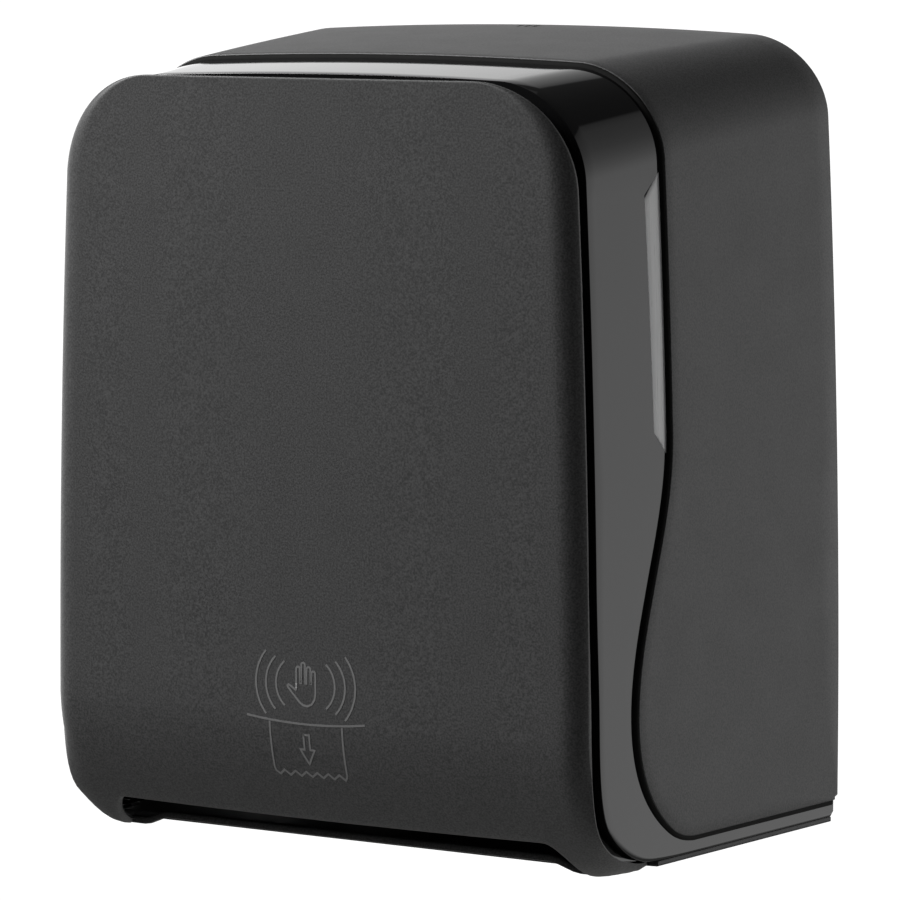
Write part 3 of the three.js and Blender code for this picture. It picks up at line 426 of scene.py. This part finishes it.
def casing_edge():
    """Places along the casing's lower and front edge, up to where it stands upright: the edge, the
    way out of it, the matching place at the wall, and how much of it belongs to the lower edge."""
    places = []
    for depth in (3, 6, 11, 18, 27, 37, 48, 60, 72, 84, 95, 105):
        rear = mix(9.7, 60, (depth - 3) / 111)
        places.append((Vector((depth, CASING_LOWER)), Vector((0, -1)), rear, 1.0))
    for path, count, rear_from, rear_to in (
        (casing_toe, 10, 60, 72), (seam_turn, 26, 72, 124), (seam_swell, 34, 124, STRAIGHT_FROM),
    ):
        for share in steps(count)[0 if path is casing_toe else 1:]:
            point, way = path.share(share)
            lower = 1 - share if path is casing_toe else 0.0
            rear = mix(rear_from, rear_to, share)
            places.append((point, Vector((way.y, -way.x)), rear, lower))
    return places


def rear_shell():
    """The casing: sides and top from the wall to the seam, with a rounded front edge."""
    def row(surface, rear, edge, outward):
        reach = min(12, max(1.6, 0.35 * edge.x))
        shoulder = edge - outward * reach
        along = (shoulder - rear).normalized()
        stops = [(rear + along * back, dip) for back, dip in reversed(CASING_RIM)]
        first = rear + along * CASING_RIM[0][0]
        stops += [(first.lerp(shoulder, share), 0.0) for share in steps(10)[1:]]
        stops.append((edge - outward * (reach + CASING_RIM[0][0]) / 2, 0.0))
        stops += [(edge - outward * back, dip) for back, dip in CASING_RIM]
        return [(surface(stop, dip), surface(stop, CASING_WALL - dip)) for stop, dip in stops]

    def side_rows(side):
        def surface(at, inset):
            return side_point(side, at.x, at.y, inset)
        return [
            row(surface, Vector((CASING_REAR, rear)), edge, outward)
            for edge, outward, rear, _ in casing_edge()
        ]

    def round_row(side, station):
        def surface(at, inset):
            return round_point(side, station, at.x, inset)
        return row(surface, Vector((CASING_REAR, 0)), Vector((SEAM_DEPTH, 0)), Vector((1, 0)))

    return over_the_top(side_rows, round_row)


# The seal's section: how far ahead of the casing's edge, and how far under the casing's surface.
SEAL_BEAD = [(0.08, 0.5), (0.45, 0.6), (0.85, 0.9), (1.15, 1.4), (1.35, 1.9), (1.45, 2.45)]
SEAL_TOE = [(0.08, 1.0), (1.1, 1.05), (2.0, 1.2), (2.4, 1.5), (2.55, 1.9), (2.6, 2.45)]


def seam_gasket():
    """The black seal that fills the step between the casing's edge and the gloss band."""
    def row(surface, edge, outward, lower):
        pairs = []
        for bead, toe in zip(SEAL_BEAD, SEAL_TOE):
            at = edge + outward * mix(bead[0], toe[0], lower)
            inset = mix(bead[1], toe[1], lower)
            pairs.append((surface(at, inset), surface(at, BAND_INSET + 0.4)))
        return pairs

    def side_rows(side):
        def surface(at, inset):
            return side_point(side, at.x, at.y, inset)
        return [row(surface, edge, outward, lower) for edge, outward, _, lower in casing_edge()]

    def round_row(side, station):
        def surface(at, inset):
            return round_point(side, station, at.x, inset)
        return row(surface, Vector((SEAM_DEPTH, 0)), Vector((1, 0)), 0.0)

    return over_the_top(side_rows, round_row)


# ---------------------------------------------------------------- gloss band
BAND_ROLL = [(0.35, 0.0), (0.15, 0.04), (0.04, 0.15), (0.0, 0.4)]
band_edges = heel_edge.points + turn_edge.points + front_edge.points


def panel_station(length):
    """A point of the panel's section and its outward normal, in (depth, height)."""
    point, way = panel_profile.at(length)
    return point, Vector((way.y, -way.x))


def fillet_at(length):
    """The radius at the panel's side: small at the rear of the foot, widest on the roll."""
    foot, roll = 24, 70
    if length < foot:
        return mix(FOOT_FILLET, ROLL_FILLET, smooth(length / foot))
    return mix(ROLL_FILLET, SIDE_FILLET, smooth((length - foot) / roll))


@cache
def rim_at(length):
    """How far back from the panel's face its rim reaches: short of the band, and less so at the foot.
    The foot's rounded end takes the rim of the place just past it, and the upright face an even one."""
    past_end, even_from, gap_grows_over = 5, 130, 75
    point, normal = panel_station(max(length, past_end))
    if point.y > even_from:
        return PANEL_RIM
    across = Vector((-normal.y, normal.x))
    facing = min(band_edges, key=lambda edge: abs((edge - point).dot(across)))
    gap = mix(RIM_GAP_AT_FOOT, RIM_GAP, smooth(length / gap_grows_over))
    return max(1.0, (point - facing).dot(normal) - gap)


def band_rows():
    """The band, the short wall at its edge and the ledge behind the panel's rim."""
    def row(surface, seam, edge, ledge, underlap=5.0):
        away = (edge - seam).normalized()
        start = seam - away * underlap
        inner_end = edge - away * BAND_WALL
        pairs = []
        for share in steps(9):
            outer = start.lerp(edge - away * BAND_ROLL[0][0], share)
            inner = start.lerp(inner_end, share)
            pairs.append((surface(outer, BAND_INSET), surface(inner, BAND_INSET + BAND_WALL)))
        for back, dip in BAND_ROLL[1:]:
            low = BAND_INSET + BAND_WALL + dip * 0.3
            pairs.append((surface(edge - away * back, BAND_INSET + dip), surface(inner_end, low)))
        ledge_end = edge + away * ledge
        pairs.append((surface(edge, LEDGE_INSET), surface(inner_end, LEDGE_INSET + LEDGE_WALL)))
        pairs.append((surface(ledge_end, LEDGE_INSET), surface(ledge_end, LEDGE_INSET + LEDGE_WALL)))
        return pairs

    def side_rows(side):
        def surface(at, inset):
            return side_point(side, at.x, at.y, inset)

        rows = []
        for depth in (0.5, 2.5, 10, 20, 30, 42, 54, 66, 78, 90, 98, 104):
            bottom = 1.2 if depth < 1 else -0.8
            front = depth + 4 * clamp01((depth - 90) / 14)
            rows.append(row(surface, Vector((depth, 4.4)), Vector((front, bottom)), 0.3))
        for share in steps(12)[1:]:
            rows.append(row(surface, band_toe.share(share)[0], heel_edge.share(share)[0], 0.3))
        for share in steps(34)[1:]:
            ledge = mix(0.3, LEDGE, smooth(share * 2))
            rows.append(row(surface, seam_turn.share(share)[0], turn_edge.share(share)[0], ledge))
        for share in steps(22)[1:]:
            seam = seam_swell.share(0.84 * share)[0]
            rows.append(row(surface, seam, front_edge.share(share)[0], LEDGE))
        half = WINDOW_CHAMFER / 2
        low = WINDOW_BOTTOM - half
        rows.append(row(surface, Vector((SEAM_DEPTH, low)), Vector((FACE_EDGE, low)), LEDGE))
        for height in steps(12, WINDOW_BOTTOM + half, WINDOW_TOP - half):
            rear = window_front(height) + 0.3
            rows.append(row(surface, Vector((rear, height)), Vector((FACE_EDGE, height)), LEDGE, 0))
        return rows

    def round_row(side, station):
        def surface(at, inset):
            return round_point(side, station, at.x, inset)
        ledge = mix(LEDGE, LEDGE_AT_TOP, smooth(station - 1))
        return row(surface, Vector((SEAM_DEPTH, 0)), Vector((FACE_EDGE, 0)), ledge)

    return over_the_top(side_rows, round_row, [s for s in ROUND_STATIONS if s >= 1])


def window_front(height):
    """The side window's front edge leans forwards a little towards its top."""
    return WINDOW_FRONT + 0.02 * (height - (WINDOW_BOTTOM + WINDOW_TOP) / 2)


def side_window(side):
    """A clear strip let into the band, chamfered at both ends where it runs under the casing."""
    rear = SEAM_DEPTH - 4
    slope = (WINDOW_FRONT - SEAM_DEPTH + 5) / WINDOW_CHAMFER
    low = WINDOW_BOTTOM - WINDOW_CHAMFER / 2
    high = WINDOW_TOP + WINDOW_CHAMFER / 2
    rows = []
    rises = [3.4, 5, 7.5, 10, 12.5, 15, 16.5, 17.5, 18.5, 20]
    middle = steps(10, low + 24, high - 24)
    heights = [low + rise for rise in rises] + middle + [high - rise for rise in rises[::-1]]
    for height in heights:
        rise = min(height - low, high - height)
        front = min(window_front(height), SEAM_DEPTH - 5 + (rise - 0.5) * slope)
        stops = [(share, 0.0) for share in steps(4)[:-1]] + [(0.95, 0.0), (1.0, 0.25)]
        rows.append([
            (side_point(side, mix(rear, front, share), height, BAND_INSET + 0.1 + dip),
             side_point(side, mix(rear, front, share), height, BAND_INSET + 1.6))
            for share, dip in stops
        ])
    return rows


# ---------------------------------------------------------------- front panel
def panel_point(share, length, inset, on_rim):
    """The panel's surface: share runs across from -1 to 1, and length up its section."""
    springing = PANEL_TOP - PANEL_CORNER
    base, normal = panel_station(length)
    side_height = min(base.y, springing)
    side = side_point(1, FACE_EDGE, side_height, PANEL_INSET + inset).x * 1000
    radius = PANEL_CORNER - inset
    height = min(base.y, PANEL_TOP - inset)
    rise = max(0.0, height - springing)
    half = side - radius + math.sqrt(max(0.0, radius**2 - rise**2))
    x = share * half
    over = max(0.0, abs(x) - (side - radius))
    to_edge = radius - math.hypot(over, rise) if rise > 0 else side - abs(x)
    lean = smooth(math.atan2(rise, max(over, 1e-6)) / (math.pi / 2)) if rise > 0 else 0.0
    rim = mix(rim_at(length), TOP_RIM, lean)
    radius = max(0.3, mix(fillet_at(length), TOP_FILLET, lean) - inset)
    turned = clamp01(1 - to_edge / (radius * math.sin(FILLET_TURN))) * math.sin(FILLET_TURN)
    squash = min(1.0, max(0.3, rim - 0.5 - inset) / (radius * (1 - math.cos(FILLET_TURN))))
    drop = rim if on_rim else squash * radius * (1 - math.sqrt(1 - turned**2))
    crown = 0.0 if on_rim else PANEL_CROWN * (1 - (x / CROWN_REACH) ** 2)
    shift = crown - drop - (0.0 if on_rim else inset)
    return place(x, base.x + normal.x * shift, height + normal.y * shift)


# The slot under the panel: its upper edge is level this far from the middle, then turns down to a foot.
SLOT_FLAT = 111
SLOT_TURN = 15.5
SLOT_HEIGHT = 11


def panel_shares():
    """Columns across half the panel, close together where the edge rounds over."""
    turn = [1 - 0.085 * (1 - math.sin(math.radians(angle))) for angle in range(0, 91, 9)]
    tight = [1 - 0.02 * (1 - math.sin(math.radians(angle))) for angle in range(0, 91, 15)]
    slot_end = [
        (SLOT_FLAT + SLOT_TURN * math.sin(math.radians(angle))) / CROWN_REACH
        for angle in range(0, 91, 6)
    ]
    shares = steps(7, 0, 0.76) + slot_end + turn + tight
    return sorted({round(share, 5) for share in shares})


def front_panel():
    """The face, its roll at the bottom and its two feet, with the slot's upper edge between them."""
    cut_length = LOWER_LENGTH / 2
    while panel_station(cut_length)[0].y < SLOT_HEIGHT:
        cut_length += 0.1
    springing = PANEL_TOP - PANEL_CORNER
    face_length = PANEL_TOP - FACE_START
    rises = [PANEL_CORNER * math.sin(math.radians(angle)) for angle in range(6, 91, 4)]
    rises += [PANEL_CORNER * math.sin(math.radians(90 - angle)) for angle in (2.5, 1)]
    heights = steps(14, FACE_START, springing)[1:] + [springing + rise for rise in sorted(rises)]
    face = [LOWER_LENGTH + height - FACE_START for height in heights]
    half_shares = panel_shares()
    shares = [-share for share in half_shares[:0:-1]] + half_shares
    edge_roll = [(0.0, 1.0), (0.3, 0.3), (1.0, 0.0)]

    def column(share, on_rim):
        turned = clamp01((abs(share) * CROWN_REACH - SLOT_FLAT) / SLOT_TURN)
        start = cut_length * math.sqrt(1 - turned**2)

        def pair(length, dip, rim):
            return panel_point(share, length, dip, rim), panel_point(share, length, PANEL_WALL - dip, rim)

        lower = [mix(start + 1, LOWER_LENGTH, t) for t in steps(22)[1:]]
        pairs = [pair(start + along, dip, on_rim) for along, dip in edge_roll]
        pairs += [pair(length, 0, on_rim) for length in lower + face]
        pairs.append(pair(LOWER_LENGTH + face_length, 0, True))
        return pairs

    return [column(-1, True)] + [column(share, False) for share in shares] + [column(1, True)]


# ---------------------------------------------------------------- cover's floor
FLOOR_TOP = -0.95
FLOOR_BOTTOM = -3.5
FLOOR_FRONT_HALF = 134


def tray_parts():
    """The cover's floor, and a rail on each side that carries its edge back past the hinge."""
    def slab(columns):
        return skin([
            [(place(x, depth, FLOOR_TOP - dip), place(x, depth, FLOOR_BOTTOM + dip)) for x, dip in column]
            for depth, column in columns
        ])

    def edge_at(depth):
        return side_point(1, depth, 0, BAND_INSET + 0.25).x * 1000

    floor = []
    for depth in (30, 60, 90, 120, 140.5, 142.5, 150, 158):
        half = edge_at(depth) if depth < 142 else FLOOR_FRONT_HALF
        inside = [(x, 0.0) for x in steps(12, 0.6 - half, half - 0.6)]
        floor.append((depth, [(-half, 0.5), (0.2 - half, 0.15), *inside, (half - 0.2, 0.15), (half, 0.5)]))
    parts = [slab(floor)]
    for side in (-1, 1):
        rail = []
        for depth in (2, 10, 20, 30.5):
            half = edge_at(depth)
            outline = [(152.4, 0.0), (half - 0.6, 0.0), (half - 0.2, 0.15), (half, 0.5)]
            rail.append((depth, [(side * x, dip) for x, dip in outline]))
        parts.append(slab(rail))
    return parts


def slot_lip():
    """The bar behind which the towel hangs out; at both ends it dips to meet the panel's feet."""
    profile = [(0.0, 0.9), (0.15, 0.35), (0.5, 0.0), (1.8, -0.05), (3.0, 0.05), (3.4, 0.35), (3.6, 1.0)]
    rows = []
    for x in steps(9, -125, -93)[:-1] + steps(14, -93, 93) + steps(9, 93, 125)[1:]:
        dip = 4.4 * smooth((abs(x) - 103) / 15)
        front = 166 - 1.5 * (x / 120) ** 2 - 0.4 * dip
        rows.append([
            (place(x, front - pull, rise - 1.6 - dip), place(x, front - 2.6 - pull / 2, rise - 1.6 - dip))
            for rise, pull in profile
        ])
    return rows


# ---------------------------------------------------------------- pictogram
STROKE = 0.95
STEP = 1.5
PRINT_TOP = 0.12
PRINT_ROOT = -0.5
PICTOGRAM_X = -0.4
ARCS = [(21.1, 5.4, 60.8, 89.6), (16.0, 5.1, 63.2, 87.3), (11.0, 4.7, 65.3, 85.5)]
SHEET_HALF = 19.3


def on_panel(x, height, lift):
    """A place on the panel's face at that height, lifted off it along its normal."""
    length = LOWER_LENGTH + height - FACE_START
    if height < FACE_START:
        low, high = LOWER_LENGTH / 2, LOWER_LENGTH
        for _ in range(30):
            length = (low + high) / 2
            if panel_station(length)[0].y < height:
                low = length
            else:
                high = length
    base, normal = panel_station(length)
    shift = PANEL_CROWN * (1 - (x / CROWN_REACH) ** 2) + lift
    return place(x, base.x + normal.x * shift, base.y + normal.y * shift)


def stroke(points, closed=False):
    """A flat raised line of even width through points in (x, height)."""
    corners = [Vector(point) for point in points]
    if closed:
        corners.append(corners[0])
    points = corners[:1]
    for a, b in zip(corners, corners[1:]):
        count = math.ceil((b - a).length / STEP)
        points += [a.lerp(b, share) for share in steps(count)[1:]]
    rows = []
    last = len(points) - 1
    for k, point in enumerate(points):
        before = points[k - 1] if k > 0 else (points[last - 1] if closed else None)
        after = points[k + 1] if k < last else (points[1] if closed else None)
        arriving = (point - before).normalized() if before else (after - point).normalized()
        leaving = (after - point).normalized() if after else arriving
        way = (arriving + leaving).normalized()
        across = Vector((-way.y, way.x))
        reach = STROKE / 2 / max(0.55, way.dot(leaving))
        pairs = []
        for edge in (point + across * reach, point - across * reach):
            x = PICTOGRAM_X + edge.x
            pairs.append((on_panel(x, edge.y, PRINT_TOP), on_panel(x, edge.y, PRINT_ROOT)))
        rows.append(pairs)
    return skin(rows)


def bow(x, sag, low, high):
    """An upright arc whose ends lie at x and whose middle lies sag further out."""
    half = (high - low) / 2
    radius = (half**2 + sag**2) / (2 * abs(sag))
    centre = x + math.copysign(radius - abs(sag), -sag)
    reach = math.asin(half / radius)
    return [
        (centre + math.copysign(radius, sag) * math.cos(angle), (low + high) / 2 + radius * math.sin(angle))
        for angle in steps(20, -reach, reach)
    ]


def hand_outline():
    """An open hand: four fingers up, the thumb to the left, and a round palm."""
    fingers = [(-3.85, 83.4), (-1.1, 85.3), (1.75, 83.6), (4.35, 81.8)]
    half, gap = 0.98, 76.0
    outline = [(-4.83, 74.6)]
    for centre, tip in fingers:
        if centre != fingers[0][0]:
            outline.append((centre - half - 0.22, gap))
        for angle in steps(8, math.pi, 0):
            outline.append((centre + half * math.cos(angle), tip - half + half * math.sin(angle)))
        if centre != fingers[-1][0]:
            outline.append((centre + half + 0.16, gap))
    palm = [(5.35, 75.5), (5.45, 71.6), (4.9, 68.9), (3.4, 66.7), (1.0, 65.7), (-1.2, 66.1), (-3.1, 67.4)]
    thumb = [(-6.4, 70.7), (-9.1, 73.6), (-9.5, 74.4), (-9.0, 74.9), (-8.2, 74.7)]
    return outline + palm + thumb + [(-5.2, 72.8), (-4.9, 73.4)]


def pictogram_parts():
    """Arcs on both sides of the hand, the outlet's line, and a torn sheet with an arrow under it."""
    parts = []
    for side in (-1, 1):
        for x, sag, low, high in ARCS:
            parts.append(stroke(bow(side * x, side * sag, low, high)))
    parts.append(stroke([(x, 59.6 - 2.05 * (1 - (x / 31.5) ** 2)) for x in steps(24, -31.5, 31.5)]))
    parts.append(stroke(hand_outline(), closed=True))
    edge = SHEET_HALF
    teeth = [(-edge, 57.5), (-edge, 36.6), (-edge + 0.5, 35.0), (-edge + 2.6, 33.5)]
    for k in range(6):
        centre = -edge + 5.1 + k * 5.85
        teeth += [(centre, 35.6), (centre + 2.95, 33.4)]
    teeth += [(edge - 0.3, 34.6), (edge, 35.6), (edge, 57.5)]
    parts.append(stroke(teeth))
    arrow = [(-1.5, 52.7), (1.5, 52.7), (1.5, 46.0), (3.75, 45.9), (0, 39.4), (-3.75, 45.9), (-1.5, 46.0)]
    parts.append(stroke(arrow, closed=True))
    return parts


# ---------------------------------------------------------------- the pieces
shell = build("rear_shell_fine", [skin(rear_shell())], slot_materials["casing"], "cover")
gasket = build("seam_gasket_fine", [skin(seam_gasket())], slot_materials["rubber"], "cover")
ears = []
for side in (-1, 1):
    x0, x1 = sorted((side * 152.3, side * 157))
    ears.append(ring(x0, x1, 3.3, 4.8, 20, 4, 0.4))
band_parts = [skin(band_rows())] + ears
band = build("gloss_band_fine", band_parts, slot_materials["gloss_trim"], "cover")
panel_parts = [skin(front_panel()), skin(slot_lip())]
panel = build("front_panel_fine", panel_parts, slot_materials["casing"], "cover", 40)
tray = build("bottom_tray_fine", tray_parts(), slot_materials["inner_plastic"], "cover")
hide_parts("rear_shell")
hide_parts("seam_gasket")
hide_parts("trim_frame")
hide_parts("front_panel")
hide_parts("bottom_tray")
for name, side in (("left", -1), ("right", 1)):
    window_parts = [skin(side_window(side))]
    window = build(f"window_{name}_fine", window_parts, slot_materials["window"], "cover")
    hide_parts(f"window_{name}")
build("pictogram", pictogram_parts(), print_grey, "cover", 60)


# Three key slots through the top of the casing, near the wall.
def key_slots():
    """The cutters for the three slots."""
    parts = []
    for centre in (-4.5, 0, 4.5):
        rows = []
        for height in (358, 376):
            edges = (centre - 0.9, centre + 0.9)
            rows.append([(place(x, 5, height), place(x, 11, height)) for x in edges])
        parts.append(skin(rows))
    return parts


def cut_out(piece, parts):
    """Takes the parts' volume out of the piece and keeps the result as its mesh."""
    cutter = build("cutter", parts, slot_materials["casing"], "cover")
    boolean = piece.modifiers.new("cut", "BOOLEAN")
    boolean.object = cutter
    boolean.solver = "EXACT"
    graph = bpy.context.evaluated_depsgraph_get()
    mesh = bpy.data.meshes.new_from_object(piece.evaluated_get(graph))
    piece.modifiers.remove(boolean)
    piece.data = mesh
    bpy.data.objects.remove(cutter)
    mesh.set_sharp_from_angle(angle=math.radians(35))


cut_out(shell, key_slots())


# ---------------------------------------------------------------- carried-over pieces
def welded_smooth():
    """Joins a node's corners and smooths it, except across its real edges."""
    group = bpy.data.node_groups.new("welded_smooth", "GeometryNodeTree")
    group.interface.new_socket("Geometry", in_out="INPUT", socket_type="NodeSocketGeometry")
    group.interface.new_socket("Geometry", in_out="OUTPUT", socket_type="NodeSocketGeometry")
    nodes, links = group.nodes, group.links
    last = nodes.new("NodeGroupInput").outputs[0]
    for attribute in ("custom_normal", "sharp_edge", "sharp_face"):
        node = nodes.new("GeometryNodeRemoveAttribute")
        node.inputs["Name"].default_value = attribute
        links.new(last, node.inputs["Geometry"])
        last = node.outputs["Geometry"]
    weld = nodes.new("GeometryNodeMergeByDistance")
    weld.inputs["Distance"].default_value = 0.00001
    links.new(last, weld.inputs["Geometry"])
    faces = nodes.new("GeometryNodeSetShadeSmooth")
    faces.domain = "FACE"
    links.new(weld.outputs["Geometry"], faces.inputs["Geometry"])
    angle = nodes.new("GeometryNodeInputMeshEdgeAngle")
    steep = nodes.new("FunctionNodeCompare")
    steep.data_type = "FLOAT"
    steep.operation = "GREATER_THAN"
    steep.inputs["B"].default_value = math.radians(32)
    links.new(angle.outputs["Unsigned Angle"], steep.inputs["A"])
    edges = nodes.new("GeometryNodeSetShadeSmooth")
    edges.domain = "EDGE"
    edges.inputs["Shade Smooth"].default_value = False
    links.new(faces.outputs["Geometry"], edges.inputs["Geometry"])
    links.new(steep.outputs["Result"], edges.inputs["Selection"])
    links.new(edges.outputs["Geometry"], nodes.new("NodeGroupOutput").inputs[0])
    return group


weld_group = welded_smooth()
node_slots = {part["node"]: part["material_slot"] for part in frame["record"]["subparts"]}
replaced = {
    "rear_shell", "seam_gasket", "trim_frame", "front_panel", "bottom_tray",
    "window_left", "window_right",
}
fine_edged = {
    "feed_gear", "idler_gear", "motor_pinion", "tear_blade", "contact_plate_left", "contact_plate_right",
}
for name, node in frame["nodes"].items():
    if name in replaced:
        continue
    node.data.materials.clear()
    node.data.materials.append(slot_materials[node_slots[name]])
    node.modifiers.new("weld", "NODES").node_group = weld_group
    if name == "back_plate":
        flat = node.modifiers.new("flat", "DECIMATE")
        flat.decimate_type = "DISSOLVE"
        flat.angle_limit = math.radians(0.5)
    edge = node.modifiers.new("edge", "BEVEL")
    edge.width = 0.0001 if name in fine_edged else 0.0004
    edge.segments = 2
    edge.limit_method = "ANGLE"
    edge.angle_limit = math.radians(32)
    node.modifiers.new("flat_faces", "WEIGHTED_NORMAL").keep_sharp = True


# ---------------------------------------------------------------- studio
def soft_light(name, location, target, size, power):
    """A large rectangular light, aimed at a target."""
    data = bpy.data.lights.new(name, "AREA")
    data.shape = "RECTANGLE"
    data.size, data.size_y = size
    data.spread = math.radians(60)
    data.energy = power
    light = bpy.data.objects.new(name, data)
    light.location = location
    light.rotation_mode = "QUATERNION"
    light.rotation_quaternion = (Vector(target) - Vector(location)).to_track_quat("-Z", "Y")
    bpy.context.scene.collection.objects.link(light)


# The backdrop's brightness by how steeply it is seen, from -1 straight down to 1 straight up.
BACKDROP = [
    (-1, 0.03), (-0.3, 0.03), (-0.24, 1.5), (0, 1.2), (0.14, 0.85), (0.265, 0.6), (0.377, 0.42),
    (0.474, 0.33), (0.55, 0.27), (0.598, 0.17), (0.605, 0.02), (1, 0.02),
]


def studio_world():
    """A bright backdrop behind the object, near the horizon, and dim elsewhere."""
    world = bpy.data.worlds.new("studio")
    world.use_nodes = True
    nodes, links = world.node_tree.nodes, world.node_tree.links
    background = nodes["Background"]
    axes = nodes.new("ShaderNodeSeparateXYZ")
    links.new(nodes.new("ShaderNodeTexCoord").outputs["Generated"], axes.inputs[0])
    behind = spread(nodes, links, axes.outputs["Y"], 0.0, 1.0, (-0.15, 0.35))
    leftwards = spread(nodes, links, axes.outputs["X"], 1.4, 1.0, (-0.45, 0.2))
    level = nodes.new("ShaderNodeValToRGB")
    ramp = level.color_ramp
    ramp.elements.remove(ramp.elements[1])
    for index, (rise, value) in enumerate(BACKDROP):
        element = ramp.elements.new((rise + 1) / 2) if index else ramp.elements[0]
        element.color = (value, value, value, 1)
    links.new(spread(nodes, links, axes.outputs["Z"], 0.0, 1.0, (-1, 1)), level.inputs["Fac"])
    glow = nodes.new("ShaderNodeMath")
    glow.operation = "MULTIPLY"
    links.new(behind, glow.inputs[0])
    links.new(level.outputs["Color"], glow.inputs[1])
    dim = nodes.new("ShaderNodeMath")
    dim.operation = "MULTIPLY_ADD"
    dim.inputs[2].default_value = 0.03
    links.new(glow.outputs[0], dim.inputs[0])
    links.new(leftwards, dim.inputs[1])
    links.new(dim.outputs[0], background.inputs["Color"])
    white = nodes.new("ShaderNodeBackground")
    white.inputs["Color"].default_value = (1, 1, 1, 1)
    white.inputs["Strength"].default_value = 1.1
    chosen = nodes.new("ShaderNodeMixShader")
    links.new(nodes.new("ShaderNodeLightPath").outputs["Is Camera Ray"], chosen.inputs[0])
    links.new(background.outputs[0], chosen.inputs[1])
    links.new(white.outputs[0], chosen.inputs[2])
    links.new(chosen.outputs[0], nodes["World Output"].inputs["Surface"])
    bpy.context.scene.world = world


studio_world()
soft_light("key", (-2.33, -1.66, 1.9), (0, -0.1, 0), (1.6, 1.2), 20.6)
soft_light("top", (-0.5, 0.6, 2.2), (0, -0.1, 0), (1.6, 1.4), 0.3)

FLOOR_LEVEL = -1.2
FLOOR_REACH = 2.5
floor_mesh = bpy.data.meshes.new("floor")
floor_corners = [
    (x * FLOOR_REACH, y * FLOOR_REACH, FLOOR_LEVEL) for x, y in ((-1, -1), (1, -1), (1, 1), (-1, 1))
]
floor_mesh.from_pydata(floor_corners, [], [(0, 1, 2, 3)])
floor_material = moulded("floor_pale", (0.62, 0.62, 0.61), 0.8, 3.0, 0.05, 0.01)
floor_shader = floor_material.node_tree.nodes["Principled BSDF"]
floor_shader.inputs["Emission Color"].default_value = (1, 1, 1, 1)
floor_shader.inputs["Emission Strength"].default_value = 0.07
floor_mesh.materials.append(floor_material)
floor = bpy.data.objects.new("floor", floor_mesh)
bpy.context.scene.collection.objects.link(floor)

camera_data = bpy.data.cameras.new("camera")
camera_data.lens = 198.65
camera_data.sensor_width = 36
camera = bpy.data.objects.new("camera", camera_data)
camera.location = (1.1972, -2.0577, 0.2418)
camera.rotation_mode = "QUATERNION"
look = Vector((0.02681, -0.12432, -0.00448)) - camera.location
camera.rotation_quaternion = look.to_track_quat("-Z", "Y")
bpy.context.scene.collection.objects.link(camera)
bpy.context.scene.camera = camera
bpy.context.scene.view_settings.view_transform = "Standard"
